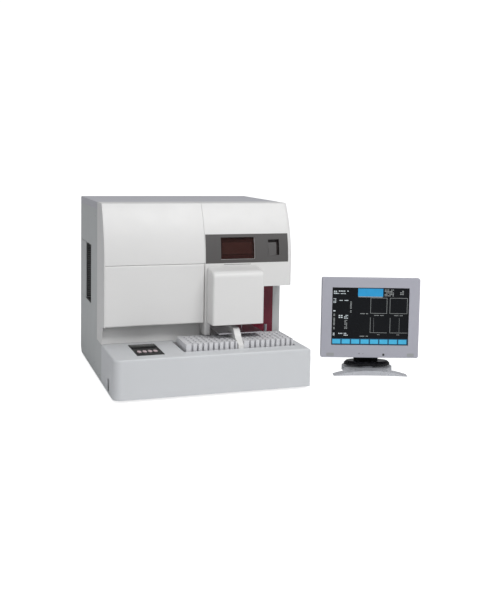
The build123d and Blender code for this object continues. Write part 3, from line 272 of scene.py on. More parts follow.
def worn(name, colour, roughness, rubbed=None, dust=0.1, rub=0.25, drift=0.05, edge=0.0012,
         spread=0.12, specular=0.5, coat=0.0, coat_roughness=0.1, metallic=0.0,
         grain=900.0, grain_depth=0.00004, wave=0.25, dust_colour=(0.62, 0.6, 0.56)):
    """Moulded or painted finish with wear on its edges and a fine grain."""
    finish, tree, shader = bare_finish(name)
    light = rubbed or tuple(min(1.0, 0.5 * channel + 0.5) for channel in colour)
    wear = placed(
        tree, wear_effect, Colour=(*colour, 1), Rubbed_Colour=(*light, 1),
        Dust_Colour=(*dust_colour, 1), Tone_Drift=drift, Rub_Amount=rub, Dust_Amount=dust,
        Edge_Width=edge,
    )
    tree.links.new(wear.outputs["Colour"], shader.inputs["Base Color"])
    gloss = ranged(tree, wear.outputs["Smudge"], 0.3, 0.7, roughness - spread / 2,
                   roughness + spread / 2)
    tree.links.new(gloss, shader.inputs["Roughness"])
    texture = placed(tree, grain_effect, Grain_Scale=grain, Waviness=wave)
    bump = tree.nodes.new("ShaderNodeBump")
    bump.inputs["Strength"].default_value = 1.0
    bump.inputs["Distance"].default_value = grain_depth
    tree.links.new(texture.outputs["Height"], bump.inputs["Height"])
    tree.links.new(bump.outputs[0], shader.inputs["Normal"])
    shader.inputs["Specular IOR Level"].default_value = specular
    shader.inputs["Coat Weight"].default_value = coat
    shader.inputs["Coat Roughness"].default_value = coat_roughness
    shader.inputs["Metallic"].default_value = metallic
    return finish


def brushed(name, colour, roughness, direction=(0.02, 1.0, 1.0), fineness=500.0, depth=0.00002):
    """Drawn metal: fine lines in its gloss and its height."""
    finish, tree, shader = bare_finish(name)
    lines = placed(tree, brush_effect, Fineness=fineness, Direction=direction)
    dark = tuple(0.82 * channel for channel in colour)
    wear = placed(tree, wear_effect, Rubbed_Colour=(*colour, 1), Tone_Drift=0.06, Rub_Amount=0.3,
                  Dust_Amount=0.06, Edge_Width=0.0008)
    tree.links.new(mix_colour(tree, lines.outputs["Mask"], dark, colour), wear.inputs["Colour"])
    tree.links.new(wear.outputs["Colour"], shader.inputs["Base Color"])
    gloss = ranged(tree, lines.outputs["Mask"], 0.0, 1.0, roughness - 0.06, roughness + 0.08)
    tree.links.new(gloss, shader.inputs["Roughness"])
    bump = tree.nodes.new("ShaderNodeBump")
    bump.inputs["Strength"].default_value = 1.0
    bump.inputs["Distance"].default_value = depth
    tree.links.new(lines.outputs["Height"], bump.inputs["Height"])
    tree.links.new(bump.outputs[0], shader.inputs["Normal"])
    shader.inputs["Metallic"].default_value = 1.0
    return finish


def tinted(name, colour, roughness, alpha, specular=0.6):
    """Smoked clear plastic: partly see-through, with fingermarks in its gloss."""
    finish, tree, shader = bare_finish(name)
    wear = placed(tree, wear_effect, Colour=(*colour, 1), Rubbed_Colour=(0.6, 0.58, 0.56, 1),
                  Tone_Drift=0.1, Rub_Amount=0.2, Dust_Amount=0.05, Edge_Width=0.0008)
    tree.links.new(wear.outputs["Colour"], shader.inputs["Base Color"])
    gloss = ranged(tree, wear.outputs["Smudge"], 0.3, 0.7, roughness, roughness + 0.12)
    tree.links.new(gloss, shader.inputs["Roughness"])
    cover = ranged(tree, wear.outputs["Smudge"], 0.2, 0.8, alpha - 0.04, alpha + 0.04)
    tree.links.new(cover, shader.inputs["Alpha"])
    shader.inputs["Specular IOR Level"].default_value = specular
    return finish


def lit(name, colour, strength, roughness=0.35):
    """Glowing part of the display, with a faint unevenness."""
    finish, tree, shader = bare_finish(name)
    place = tree.nodes.new("ShaderNodeTexCoord").outputs["Object"]
    uneven = ranged(tree, noise(tree, place, 40.0, 3.0, 0.5), 0.3, 0.7, 0.0, 1.0)
    glow = mix_colour(tree, uneven, tuple(0.9 * channel for channel in colour), colour)
    tree.links.new(glow, shader.inputs["Emission Color"])
    tree.links.new(glow, shader.inputs["Base Color"])
    tree.links.new(ranged(tree, uneven, 0.0, 1.0, roughness, roughness + 0.1),
                   shader.inputs["Roughness"])
    shader.inputs["Emission Strength"].default_value = strength
    return finish


finishes = {
    "cover_white": worn("cover white moulding", (0.86, 0.855, 0.84), 0.42, dust=0.06, rub=0.2),
    "casing_paint": worn("casing grey paint", (0.62, 0.64, 0.635), 0.48, dust=0.08, rub=0.25,
                         grain=420.0, grain_depth=0.00005),
    "top_paint": worn("casing top paint", (0.60, 0.60, 0.64), 0.45, dust=0.12, rub=0.25,
                      grain=420.0, grain_depth=0.00005),
    "base_white": worn("loader base moulding", (0.74, 0.755, 0.77), 0.45, dust=0.07, rub=0.22),
    "tray_steel": brushed("tray galvanised sheet", (0.52, 0.53, 0.54), 0.42),
    "zinc_steel": brushed("inner zinc sheet", (0.58, 0.59, 0.6), 0.38, fineness=380.0),
    "foot_rubber": worn("foot rubber", (0.025, 0.025, 0.027), 0.75, dust=0.3, rub=0.3, grain=700.0,
                        grain_depth=0.00008),
    "rack_tray_grey": worn("rack tray moulding", (0.42, 0.41, 0.42), 0.5, dust=0.08),
    "rack_white": worn("sample rack white", (0.80, 0.80, 0.82), 0.36, dust=0.05, rub=0.3,
                       grain=1200.0, grain_depth=0.00003),
    "bridge_white": worn("bridge white", (0.88, 0.875, 0.86), 0.32, dust=0.04, rub=0.2),
    "plate_grey": brushed("transfer plate steel", (0.66, 0.65, 0.68), 0.36,
                          direction=(1.0, 0.02, 1.0)),
    "keypad_black": worn("keypad black gloss", (0.012, 0.012, 0.012), 0.3, dust=0.02, rub=0.2,
                         spread=0.1, specular=0.18, grain_depth=0.000005),
    "key_rose": worn("key pale rose", (0.72, 0.58, 0.60), 0.4, dust=0.03, rub=0.35),
    "band_grey": worn("band dark grey", (0.115, 0.11, 0.108), 0.5, dust=0.03, rub=0.1,
                      specular=0.3),
    "window_tint": tinted("window smoked brown", (0.045, 0.015, 0.012), 0.06, 0.5, 0.3),
    "shield_tint": tinted("bay shield smoked red", (0.19, 0.022, 0.042), 0.15, 0.95, 0.3),
    "button_grey": worn("latch button grey", (0.125, 0.12, 0.118), 0.5, specular=0.3, rub=0.5),
    "rail_steel": brushed("guide rod steel", (0.74, 0.74, 0.75), 0.18, direction=(1.0, 1.0, 0.05)),
    "carriage_alu": brushed("carriage aluminium", (0.72, 0.73, 0.75), 0.34),
    "rotor_grey": worn("rotor grey moulding", (0.33, 0.34, 0.36), 0.4),
    "syringe_glass": tinted("syringe glass", (0.75, 0.80, 0.82), 0.05, 0.35, 0.8),
    "chamber_clear": tinted("chamber clear plastic", (0.75, 0.74, 0.68), 0.12, 0.5),
    "valve_black": worn("valve black moulding", (0.03, 0.03, 0.033), 0.45),
    "optics_black": worn("optics black anodised", (0.022, 0.022, 0.026), 0.35, rub=0.4),
    "supply_grey": brushed("supply case steel", (0.5, 0.51, 0.52), 0.45),
    "fan_black": worn("fan black moulding", (0.02, 0.02, 0.021), 0.5),
    "switch_black": worn("switch black moulding", (0.015, 0.015, 0.016), 0.35, coat=0.2),
    "bezel_grey": worn("bezel lavender grey", (0.50, 0.50, 0.56), 0.4, dust=0.05),
    "screen_black": worn("screen black glass", (0.002, 0.003, 0.005), 0.25, dust=0.01, rub=0.0,
                         specular=0.2, grain_depth=0.000003),
    "stand_black": worn("neck black gloss", (0.008, 0.008, 0.010), 0.22, dust=0.02, rub=0.2,
                        specular=0.3),
    "stand_silver": worn("stand silver paint", (0.66, 0.67, 0.70), 0.28, dust=0.05, rub=0.2,
                         metallic=0.35),
}

for part in frame["record"]["subparts"]:
    for slot in frame["nodes"][part["node"]].material_slots:
        slot.material = finishes[slot.material.name.split(".")[0]]


# Shapes that the added pieces are made of

sharp_from = 0.6


def finished(name, mesh, frame_matrix, finish, body):
    """Turns a bmesh in millimetres into a piece that rides on a body."""
    bmesh.ops.recalc_face_normals(mesh, faces=mesh.faces)
    mesh.transform(frame_matrix)
    data = bpy.data.meshes.new(name)
    mesh.to_mesh(data)
    mesh.free()
    for polygon in data.polygons:
        polygon.use_smooth = True
    data.set_sharp_from_angle(angle=sharp_from)
    piece = bpy.data.objects.new(name, data)
    bpy.context.scene.collection.objects.link(piece)
    data.materials.append(finish)
    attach(piece, body)


def softened(mesh, width, edges=None, segments=2):
    """Rounds the edges of a bmesh."""
    bmesh.ops.bevel(
        mesh, geom=list(edges if edges is not None else mesh.edges), offset=width,
        affect="EDGES", segments=segments, profile=0.5, material=-1,
    )


def brick(mesh, low, high):
    """Adds a straight block to a bmesh and returns its vertices."""
    middle = [(a + b) / 2 for a, b in zip(low, high)]
    made = bmesh.ops.create_cube(
        mesh, size=1,
        matrix=Matrix.Translation(middle) @ Matrix.Diagonal([b - a for a, b in zip(low, high)] + [1]),
    )
    return made["verts"]


def disc(mesh, centre, radius, depth, axis, corners):
    """Adds a round bar to a bmesh, centred on a point, along an axis."""
    turn = {"Y": Matrix.Rotation(pi / 2, 4, "X"), "Z": Matrix.Identity(4)}[axis]
    bmesh.ops.create_cone(
        mesh, cap_ends=True, segments=corners, radius1=radius, radius2=radius, depth=depth,
        matrix=Matrix.Translation(centre) @ turn,
    )


# Finishes of the added pieces

# The window's inside: a near-black copy of one maroon interior as painted shade, and a lighter brown
# copy as painted light
window_painted_shade = worn("window inner dark", (0.035, 0.013, 0.010), 0.6, rub=0.1)
window_painted_light_brown = worn("window inner brown", (0.30, 0.11, 0.085), 0.5, rub=0.1)
window_red = worn("window inner red edge", (0.22, 0.03, 0.025), 0.4, rub=0.1)
# Near-black colour of the latch pocket's lining: painted shade
latch_pocket_painted_shade = worn("latch pocket dark", (0.03, 0.02, 0.018), 0.5)
# Near-black: painted shade in the head's seam and behind the bay's louvres; also the colour of the
# deck bush and the connector pins
seam_dark = worn("shadow gap dark", (0.02, 0.02, 0.02), 0.7, rub=0.0)
pane_green = worn("keypad display pane", (0.012, 0.016, 0.014), 0.25, specular=0.25, rub=0.15)
mark_grey = worn("keypad printed marks", (0.35, 0.30, 0.30), 0.5, rub=0.0)
slat_grey = worn("bay louvre grey", (0.10, 0.105, 0.105), 0.5)
# Near-black for the bay's hand recess: painted shade under its top and painted shadow along its foot
bay_painted_shade_black = worn("bay grip black", (0.018, 0.019, 0.019), 0.55)
screw_steel = brushed("screw steel", (0.62, 0.62, 0.63), 0.3)
collar_black = worn("port collar black", (0.03, 0.03, 0.035), 0.45)
header_blue = lit("display header blue", (0.010, 0.20, 0.40), 0.8)
mark_white = lit("display pale marks", (0.42, 0.46, 0.48), 0.8)
plot_line = lit("display plot lines", (0.20, 0.21, 0.21), 0.8)
bar_blue = lit("display key bar", (0.004, 0.05, 0.10), 0.8)
key_cyan = lit("display key cyan", (0.035, 0.28, 0.45), 0.85)
indicator_dark = worn("indicator dark lens", (0.06, 0.06, 0.08), 0.2)
plate_bare = worn("bare corner plate", (0.40, 0.41, 0.42), 0.35)


# Leaning face of the head: behind the window, the latch pocket and the seam

window_start = 441
window_end = 577
window_low = 465
window_high = 548
window_lap = 1
backing_inset = 24
shelf_inset = 20
shelf_start = 12
shelf_stop = 4
shelf_heights = (484, 526)
edge_line_inset = 18
line_start = 6
line_stop = 3
edge_line_heights = ((467, 469), (471, 473), (476, 477.5))
sheet_thickness = 1
pocket_start = 631
pocket_end = 676
pocket_low = 477
pocket_high = 538
pocket_depth = 15
lining_gap = 0.1
lining_thickness = 0.4
lining_setback = 0.4
seam_start = 452
seam_end = 560
seam_low = 445.4
seam_high = 446.6
seam_proud = 0.25
seam_sunk = 0.3


def leaning_sheet(mesh, across, heights, inset, thickness, steps=12):
    """Adds a sheet that follows the leaning face at an inset, from a grid bent and thickened."""
    grid = bmesh.ops.create_grid(mesh, x_segments=1, y_segments=steps, size=0.5)["verts"]
    near, far = across
    low, high = heights
    for corner in grid:
        x = near + (corner.co.x + 0.5) * (far - near)
        z = low + (corner.co.y + 0.5) * (high - low)
        corner.co = (x, face_depth(z, inset), z)
    faces = {face for corner in grid for face in corner.link_faces}
    bmesh.ops.solidify(mesh, geom=list(faces), thickness=thickness)


def window_inside():
    """What shows through the smoked window: a box near-black with painted shade, a shelf in a lighter
    brown of painted light, and its red edge lines.
    """
    mesh = bmesh.new()
    leaning_sheet(mesh, (window_start - window_lap, window_end + window_lap),
                  (window_low - window_lap, window_high + window_lap), backing_inset,
                  sheet_thickness)
    finished("window_shade_backing", mesh, analyser_frame(), window_painted_shade, "analyser")
    mesh = bmesh.new()
    leaning_sheet(mesh, (window_start + shelf_start, window_end - shelf_stop), shelf_heights,
                  shelf_inset, sheet_thickness)
    finished("window_shelf", mesh, analyser_frame(), window_painted_light_brown, "analyser")
    mesh = bmesh.new()
    for heights in edge_line_heights:
        leaning_sheet(mesh, (window_start + line_start, window_end - line_stop), heights,
                      edge_line_inset, sheet_thickness, 2)
    finished("window_edge_lines", mesh, analyser_frame(), window_red, "analyser")


def latch_lining():
    """Lining of the latch pocket, dark with painted shade, open at its front and clear of the
    button's travel.
    """
    near = pocket_start + lining_gap
    far = pocket_end - lining_gap
    low = pocket_low + lining_gap
    high = pocket_high - lining_gap
    back = pocket_depth - lining_gap - lining_thickness
    mesh = bmesh.new()
    leaning_sheet(mesh, (near, far), (low, high), back, lining_thickness)
    for x0, x1, z0, z1 in (
        (near, near + lining_thickness, low, high),
        (far - lining_thickness, far, low, high),
        (near, far, low, low + lining_thickness),
        (near, far, high - lining_thickness, high),
    ):
        for corner in brick(mesh, (x0, 0, z0), (x1, 1, z1)):
            inset = lining_setback if corner.co.y < 0.5 else back
            corner.co.y = face_depth(corner.co.z, inset)
    finished("latch_pocket_shade_lining", mesh, analyser_frame(), latch_pocket_painted_shade, "analyser")


def head_line():
    """Dark strip across the head above the tower hood: painted shade of a narrow shadow gap."""
    mesh = bmesh.new()
    brick(mesh, (seam_start, face_setback - seam_proud, seam_low),
          (seam_end, face_setback + seam_sunk, seam_high))
    finished("head_seam_line", mesh, analyser_frame(), seam_dark, "analyser")


# Deck: the keypad and the small hole

deck_height = 152
pane_near_corner = (96, 174, deck_height + 1)
pane_far_corner = (188, 223, deck_height + 1.5)
key_start = 111.6
key_pitch = 19.6
keys = 4
mark_low = deck_height - 0.95
mark_high = deck_height - 0.8
bush_across = 709
bush_depth = 76
bush_sunk = 1.6
bush_radius = 2.4
bush_height = 1.4


def keypad_details():
    """Display pane behind the keys, and two short marks behind each key."""
    mesh = bmesh.new()
    brick(mesh, pane_near_corner, pane_far_corner)
    softened(mesh, 0.2)
    finished("keypad_display_pane", mesh, analyser_frame(), pane_green, "analyser")
    mesh = bmesh.new()
    for k in range(keys):
        x = key_start + key_pitch * k
        for half_width, near, far in ((4.5, 134, 135.6), (3, 138, 139.2)):
            brick(mesh, (x - half_width, near, mark_low), (x + half_width, far, mark_high))
    finished("keypad_marks", mesh, analyser_frame(), mark_grey, "analyser")


def deck_socket():
    """Dark bush in the small hole at the deck's right front corner."""
    mesh = bmesh.new()
    disc(mesh, (bush_across, bush_depth, deck_height - bush_sunk), bush_radius, bush_height, "Z", 20)
    finished("deck_bush", mesh, analyser_frame(), seam_dark, "analyser")


# Left side: the bay with its hand recess

bay_front = 508
bay_split = 643
bay_low = 263
bay_high = 497
bay_depth = 36
louvre_start = 5
louvre_thickness = 1.4
louvre_gap = 0.2
louvre_margin = 6
slat_start = 8
slat_reach = 3.4
slat_root = 1.2
slat_pitch = 9
slat_height = 4.2
slat_slope = 2.2
# Black pieces in the hand recess: painted shade under its top, painted shadow along its foot
top_shade_start = 3
top_shade_height = 34
top_shade_lean = 24
foot_shadow_start = 1.2
foot_shadow_height = 4


def bay_details():
    """Louvred strip on the hand recess's rear wall before a dark plate of painted shade, a black
    leaning piece of painted shade under the recess's top, and a black strip of painted shadow along
    its foot.
    """
    # Dark plate behind the slats: painted shade
    mesh = bmesh.new()
    brick(mesh, (louvre_start, bay_split - louvre_thickness, bay_low + louvre_margin),
          (bay_depth - 2, bay_split - louvre_gap, bay_high - louvre_margin))
    finished("bay_louvre_shade_back", mesh, analyser_frame(), seam_dark, "analyser")
    mesh = bmesh.new()
    height = bay_low + 2 * louvre_margin
    while height < bay_high - 2 * louvre_margin - 2:
        slat = brick(mesh, (slat_start, bay_split - slat_reach, height),
                     (bay_depth - louvre_start, bay_split - slat_root, height + slat_height))
        for corner in slat:
            if corner.co.y < bay_split - 2:
                corner.co.z -= slat_slope
        height += slat_pitch
    softened(mesh, 0.35)
    finished("bay_louvre_slats", mesh, analyser_frame(), slat_grey, "analyser")
    # Black leaning piece under the recess's top: painted shade
    mesh = bmesh.new()
    grip = brick(mesh, (top_shade_start, bay_front + 1, bay_high - top_shade_height),
                 (bay_depth - 1, bay_split - 4, bay_high - 0.4))
    for corner in grip:
        if corner.co.z < bay_high - top_shade_height / 2 and corner.co.x < bay_depth / 2:
            corner.co.x += top_shade_lean
    softened(mesh, 1.2)
    finished("bay_grip", mesh, analyser_frame(), bay_painted_shade_black, "analyser")
    # Black strip along the recess's foot: painted shadow
    mesh = bmesh.new()
    brick(mesh, (foot_shadow_start, bay_front + 0.6, bay_low + 0.2),
          (bay_depth - 1, bay_split - 3.6, bay_low + foot_shadow_height))
    softened(mesh, 0.6)
    finished("bay_sill", mesh, analyser_frame(), bay_painted_shade_black, "analyser")


# Screws of the casing, and what the rear panel carries

dot_spot = (0.4, 416, 49)
dot_radius = 3.4
side_screw_radius = 3.0
side_screw_spots = ((300, 30), (745, 30), (395, 620), (760, 620))
rear_screw_radius = 3.2
fan_screw_radius = 3.4
fan_across = 150
fan_height = 300
fan_screw_reach = 52.5
connector_across = 365
connector_heights = (250, 300)
shell_reach = 20
shell_rise = 4.2
shell_seat = 4
shell_proud = 7
shell_nut_reach = 25
shell_nut_radius = 2.4
pin_pitch = 4.0
pin_row = 1.5
pin_radius = 0.7
port_height = 180
port_pitch = 34
ports = 5
collar_radius = 4.4
collar_height = 0.8
collar_proud = 7.6


def screw_head(mesh, centre, radius, axis, outward):
    """Adds a domed screw head with a cross on it, seated on a panel."""
    height = radius * 0.5
    crown = radius * 0.72
    cross = (radius * 1.1, radius * 0.22, radius * 0.06)
    turn = {"X": Matrix.Rotation(pi / 2, 4, "Y"), "Y": Matrix.Rotation(-pi / 2, 4, "X")}[axis]
    if outward < 0:
        turn = turn @ Matrix.Rotation(pi, 4, "X")
    seat = Matrix.Translation(centre) @ turn
    made = bmesh.ops.create_cone(
        mesh, cap_ends=True, segments=20, radius1=radius, radius2=crown, depth=height,
        matrix=seat @ Matrix.Translation((0, 0, height / 2)),
    )
    softened(mesh, radius * 0.1, {edge for corner in made["verts"] for edge in corner.link_edges})
    for angle in (0, pi / 2):
        bmesh.ops.create_cube(
            mesh, size=1,
            matrix=seat @ Matrix.Rotation(angle, 4, "Z") @ Matrix.Translation((0, 0, height))
            @ Matrix.Diagonal((*cross, 1)),
        )


def casing_screws():
    """Screws that hold the left, rear and right sheets, and the fan's four."""
    mesh = bmesh.new()
    screw_head(mesh, dot_spot, dot_radius, "X", -1)
    for depth, height in side_screw_spots:
        screw_head(mesh, (0, depth, height), side_screw_radius, "X", -1)
    finished("side_screws", mesh, analyser_frame(), screw_steel, "analyser")
    mesh = bmesh.new()
    rear_spots = [(x, z) for x in (14, 250, 480, 716) for z in (40, 660)]
    rear_spots += [(x, z) for z in (230, 440) for x in (14, 716)]
    for x, z in rear_spots:
        screw_head(mesh, (x, rear_face, z), rear_screw_radius, "Y", 1)
    for dx in (-fan_screw_reach, fan_screw_reach):
        for dz in (-fan_screw_reach, fan_screw_reach):
            screw_head(mesh, (fan_across + dx, rear_face, fan_height + dz), fan_screw_radius, "Y", 1)
    finished("rear_screws", mesh, analyser_frame(), screw_steel, "analyser")
    mesh = bmesh.new()
    for depth, height in side_screw_spots:
        screw_head(mesh, (body_width, depth, height), side_screw_radius, "X", 1)
    finished("right_screws", mesh, analyser_frame(), screw_steel, "analyser")


def rear_connectors():
    """Shells and pins of the two connectors, and the collars of the five fluid ports."""
    mesh = bmesh.new()
    for z in connector_heights:
        shell = brick(mesh, (connector_across - shell_reach, rear_face + shell_seat, z - shell_rise),
                      (connector_across + shell_reach, rear_face + shell_proud, z + shell_rise))
        edges = {edge for corner in shell for edge in corner.link_edges}
        across_panel = [edge for edge in edges
                        if abs(edge.verts[0].co.y - edge.verts[1].co.y) > 1]
        softened(mesh, 2.0, across_panel, 3)
        for x in (-shell_nut_reach, shell_nut_reach):
            disc(mesh, (connector_across + x, rear_face + shell_seat + shell_nut_radius / 2, z),
                 shell_nut_radius, shell_nut_radius, "Y", 6)
    finished("connector_shells", mesh, analyser_frame(), screw_steel, "analyser")
    mesh = bmesh.new()
    for z in connector_heights:
        for row, count in ((pin_row, 8), (-pin_row, 7)):
            for k in range(count):
                x = connector_across + (k - (count - 1) / 2) * pin_pitch
                disc(mesh, (x, rear_face + shell_proud + 0.1, z + row), pin_radius, 0.5, "Y", 8)
    finished("connector_pins", mesh, analyser_frame(), seam_dark, "analyser")
    mesh = bmesh.new()
    for k in range(ports):
        x = connector_across + (k - (ports - 1) / 2) * port_pitch
        disc(mesh, (x, rear_face + collar_proud, port_height), collar_radius, collar_height, "Y", 24)
    finished("port_collars", mesh, analyser_frame(), collar_black, "analyser")


# Monitor: the picture on the display, with generic marks only

screen_centre = 228.6
indicator_drop = 149
large_indicator_across = -41.5
small_indicator_across = -26
corner_plate_sides = ((-172, -142), (150, 178))
corner_plate_drops = (160, 147)
glass_face = 4
picture_lift = 0.15
soft_key_lift = 0.3
soft_keys = 8
soft_key_start = -149
soft_key_pitch = 37.7
soft_key_width = 32

# Each group of dashes: its left, right, foot and top from the display's centre, rows and columns
pale_readings = (
    (-128, -87, 97, 104, 1, 6),
    (-147, -133, 88, 103, 2, 2),
    (-146, -98, 88, 93, 1, 9),
    (-148, -136, 52, 72, 4, 2),
    (-148, -136, 17, 25, 1, 1),
    (-124, -110, 60, 66, 1, 2),
    (-104, -88, 60, 66, 1, 3),
    (-126, -108, -9, 6, 2, 2),
    (-104, -87, -11, 6, 3, 3),
    (-126, -108, -73, -66, 1, 3),
    (-104, -87, -80, -66, 2, 3),
    (-148, -138, -79, -66, 2, 1),
)
grey_readings = (
    (-147, -138, -54, 10, 12, 1),
    (-102, -90, -52, -14, 7, 2),
    (-81, -73, 14, 60, 9, 1),
    (-40, -8, 8, 14, 1, 7),
    (-40, -6, -83, -77, 1, 7),
    (55, 93, 81, 110, 5, 6),
    (117, 133, 87, 106, 3, 2),
)
plot_captions = (
    (16, 54, 2, 7, 1, 8),
    (95, 131, 2, 7, 1, 8),
    (30, 40, -75, -71, 1, 2),
    (107, 119, -75, -71, 1, 2),
)
# Each plot: its left, right, foot and top, and which sides its frame has
plots = (
    (0, 66, 12, 75, "lbrt"),
    (77, 147, 12, 75, "lbrt"),
    (0, 68, -66, -4, "lb"),
    (79, 150, -66, -4, "lb"),
)


def patch(mesh, x0, x1, z0, z1, lift=picture_lift):
    """Adds a thin patch on the display, from its centre."""
    brick(mesh, (x0, glass_face - lift - 0.1, screen_centre + z0),
          (x1, glass_face - lift, screen_centre + z1))


def dashes(mesh, x0, x1, z0, z1, rows, columns):
    """Adds rows of short dashes that stand for readings, without lettering."""
    row_height = (z1 - z0) / rows
    dash_width = (x1 - x0) / columns
    for row in range(rows):
        for column in range(columns):
            if (3 * row + 5 * column) % 7 == 6:
                continue
            low = z0 + row * row_height
            near = x0 + column * dash_width
            patch(mesh, near, near + 0.72 * dash_width, low + 0.2 * row_height,
                  low + 0.75 * row_height)


def plot_frame(mesh, x0, x1, z0, z1, sides, line=1.3):
    """Adds the thin frame of a plot."""
    if "l" in sides:
        patch(mesh, x0, x0 + line, z0, z1)
    if "r" in sides:
        patch(mesh, x1 - line, x1, z0, z1)
    if "b" in sides:
        patch(mesh, x0, x1, z0, z0 + line)
    if "t" in sides:
        patch(mesh, x0, x1, z1 - line, z1)


def display_picture():
    """Header, readings, four plots and a row of soft keys on the black display."""
    head = "monitor_head"
    mesh = bmesh.new()
    patch(mesh, -51, 49, 80, 112)
    finished("display_header", mesh, monitor_frame(), header_blue, head)
    mesh = bmesh.new()
    patch(mesh, -49, 47, 77.5, 79)
    for group in pale_readings:
        dashes(mesh, *group)
    finished("display_readings", mesh, monitor_frame(), mark_white, head)
    mesh = bmesh.new()
    for group in grey_readings:
        dashes(mesh, *group)
    for plot in plots:
        plot_frame(mesh, *plot)
    patch(mesh, 14, 14.6, -64, -6)
    patch(mesh, 116, 116.8, -64, -6)
    for group in plot_captions:
        dashes(mesh, *group)
    finished("display_plots", mesh, monitor_frame(), plot_line, head)
    mesh = bmesh.new()
    patch(mesh, -150, 151.5, -113, -90)
    finished("display_key_bar", mesh, monitor_frame(), bar_blue, head)
    mesh = bmesh.new()
    for k in range(soft_keys):
        x = soft_key_start + soft_key_pitch * k
        patch(mesh, x, x + soft_key_width, -110.5, -93, soft_key_lift)
    finished("display_soft_keys", mesh, monitor_frame(), key_cyan, head)


def monitor_details():
    """Two indicators and the bare corner plates on the bezel."""
    head = "monitor_head"
    indicator_height = screen_centre - indicator_drop
    plate_low, plate_high = (screen_centre - drop for drop in corner_plate_drops)
    mesh = bmesh.new()
    disc(mesh, (large_indicator_across, -0.1, indicator_height), 2.0, 0.6, "Y", 20)
    disc(mesh, (small_indicator_across, -0.1, indicator_height), 1.2, 0.5, "Y", 16)
    finished("monitor_indicators", mesh, monitor_frame(), indicator_dark, head)
    mesh = bmesh.new()
    for x0, x1 in corner_plate_sides:
        brick(mesh, (x0, -0.35, plate_low), (x1, 0.2, plate_high))
    through_plate = [edge for edge in mesh.edges
                     if abs(edge.verts[0].co.y - edge.verts[1].co.y) > 0.3]
    softened(mesh, 2.0, through_plate, 3)
    finished("monitor_corner_plates", mesh, monitor_frame(), plate_bare, head)


window_inside()
latch_lining()
head_line()
keypad_details()
deck_socket()
bay_details()
casing_screws()
rear_connectors()
display_picture()
monitor_details()


# Camera, light and floor

# The fit to the photograph, whose frame is 500 by 600 pixels
photo_height = 600
focal_pixels = 854.6337
centre_drop_pixels = 80
sensor_width = 36
camera_place = (-1.13847, -3.25287, 0.86713)
camera_yaw = radians(19.297)
camera_pitch = radians(-4.461)
camera_roll = radians(0.993)

floor_reach = 20
floor_glow = 0.8
surround_strength = 0.38
seen_white_strength = 1.05
key_place = (0.5, -2.7, 3.3)
key_target = (-0.2, 0, 0.35)
key_size = (2.2, 1.6)
key_power = 74


def set_camera():
    """Camera from the fit to the photograph."""
    ahead = Vector((
        sin(camera_yaw) * cos(camera_pitch), cos(camera_yaw) * cos(camera_pitch), sin(camera_pitch),
    ))
    right = ahead.cross(Vector((0, 0, 1))).normalized()
    up = right.cross(ahead).normalized()
    turned_right = right * cos(camera_roll) + up * sin(camera_roll)
    turned_up = turned_right.cross(ahead).normalized()
    data = bpy.data.cameras.new("photo_camera")
    data.sensor_fit = "AUTO"
    data.sensor_width = sensor_width
    data.lens = focal_pixels * sensor_width / photo_height
    data.shift_x = 0
    data.shift_y = -centre_drop_pixels / photo_height
    data.dof.use_dof = False
    data.clip_end = 50
    camera = bpy.data.objects.new("photo_camera", data)
    bpy.context.scene.collection.objects.link(camera)
    pose = Matrix((turned_right, turned_up, -ahead)).transposed().to_4x4()
    camera.matrix_world = Matrix.Translation(camera_place) @ pose
    bpy.context.scene.camera = camera


def soft_box(name, place, target, size, power):
    """Large area light that faces a target."""
    data = bpy.data.lights.new(name, "AREA")
    data.shape = "RECTANGLE"
    data.size, data.size_y = size
    data.energy = power
    lamp = bpy.data.objects.new(name, data)
    bpy.context.scene.collection.objects.link(lamp)
    lamp.matrix_world = (
        Matrix.Translation(place)
        @ (Vector(target) - Vector(place)).to_track_quat("-Z", "Y").to_matrix().to_4x4()
    )


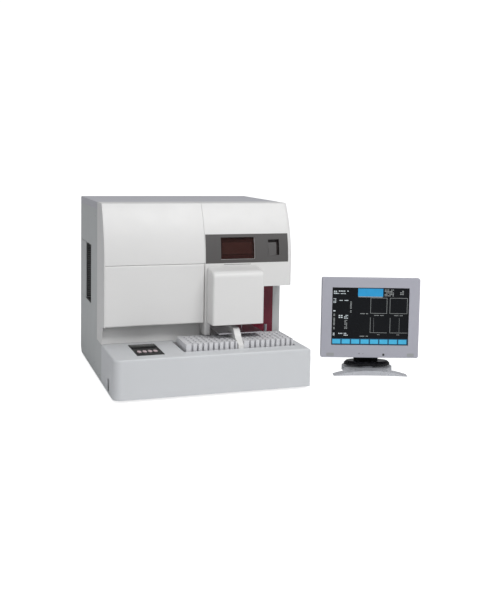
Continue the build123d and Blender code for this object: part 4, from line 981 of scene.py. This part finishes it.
def set_floor():
    """Plain pale floor, bright enough to meet the white behind it."""
    finish, tree, shader = bare_finish("studio floor")
    place = tree.nodes.new("ShaderNodeTexCoord").outputs["Object"]
    pale = mix_colour(tree, noise(tree, place, 3.0, 3.0, 0.5), (0.90, 0.90, 0.90), (0.94, 0.94, 0.94))
    tree.links.new(pale, shader.inputs["Base Color"])
    shader.inputs["Roughness"].default_value = 0.9
    shader.inputs["Specular IOR Level"].default_value = 0.1
    glow = tree.nodes.new("ShaderNodeEmission")
    glow.inputs["Strength"].default_value = floor_glow
    seen = tree.nodes.new("ShaderNodeLightPath")
    added = tree.nodes.new("ShaderNodeAddShader")
    chosen = tree.nodes.new("ShaderNodeMixShader")
    output = [node for node in tree.nodes if node.bl_idname == "ShaderNodeOutputMaterial"][0]
    tree.links.new(shader.outputs[0], added.inputs[0])
    tree.links.new(glow.outputs[0], added.inputs[1])
    tree.links.new(seen.outputs["Is Camera Ray"], chosen.inputs[0])
    tree.links.new(shader.outputs[0], chosen.inputs[1])
    tree.links.new(added.outputs[0], chosen.inputs[2])
    tree.links.new(chosen.outputs[0], output.inputs["Surface"])
    mesh = bmesh.new()
    bmesh.ops.create_grid(mesh, x_segments=1, y_segments=1, size=floor_reach)
    data = bpy.data.meshes.new("studio_floor")
    mesh.to_mesh(data)
    mesh.free()
    data.materials.append(finish)
    floor = bpy.data.objects.new("studio_floor", data)
    bpy.context.scene.collection.objects.link(floor)


def set_light():
    """Soft light from above the front, with an even pale surround that the camera sees as white."""
    world = bpy.data.worlds.new("studio surround")
    bpy.context.scene.world = world
    world.use_nodes = True
    tree = world.node_tree
    tree.nodes.clear()
    output = tree.nodes.new("ShaderNodeOutputWorld")
    surround = tree.nodes.new("ShaderNodeBackground")
    surround.inputs["Color"].default_value = (0.96, 0.97, 1.0, 1)
    surround.inputs["Strength"].default_value = surround_strength
    seen_white = tree.nodes.new("ShaderNodeBackground")
    seen_white.inputs["Color"].default_value = (1, 1, 1, 1)
    seen_white.inputs["Strength"].default_value = seen_white_strength
    seen = tree.nodes.new("ShaderNodeLightPath")
    chosen = tree.nodes.new("ShaderNodeMixShader")
    tree.links.new(seen.outputs["Is Camera Ray"], chosen.inputs[0])
    tree.links.new(surround.outputs[0], chosen.inputs[1])
    tree.links.new(seen_white.outputs[0], chosen.inputs[2])
    tree.links.new(chosen.outputs[0], output.inputs["Surface"])
    soft_box("key_light", key_place, key_target, key_size, key_power)


set_camera()
set_floor()
set_light()
settings = bpy.context.scene.view_settings
settings.view_transform = "Standard"
settings.look = "None"
settings.exposure = 0
settings.gamma = 1
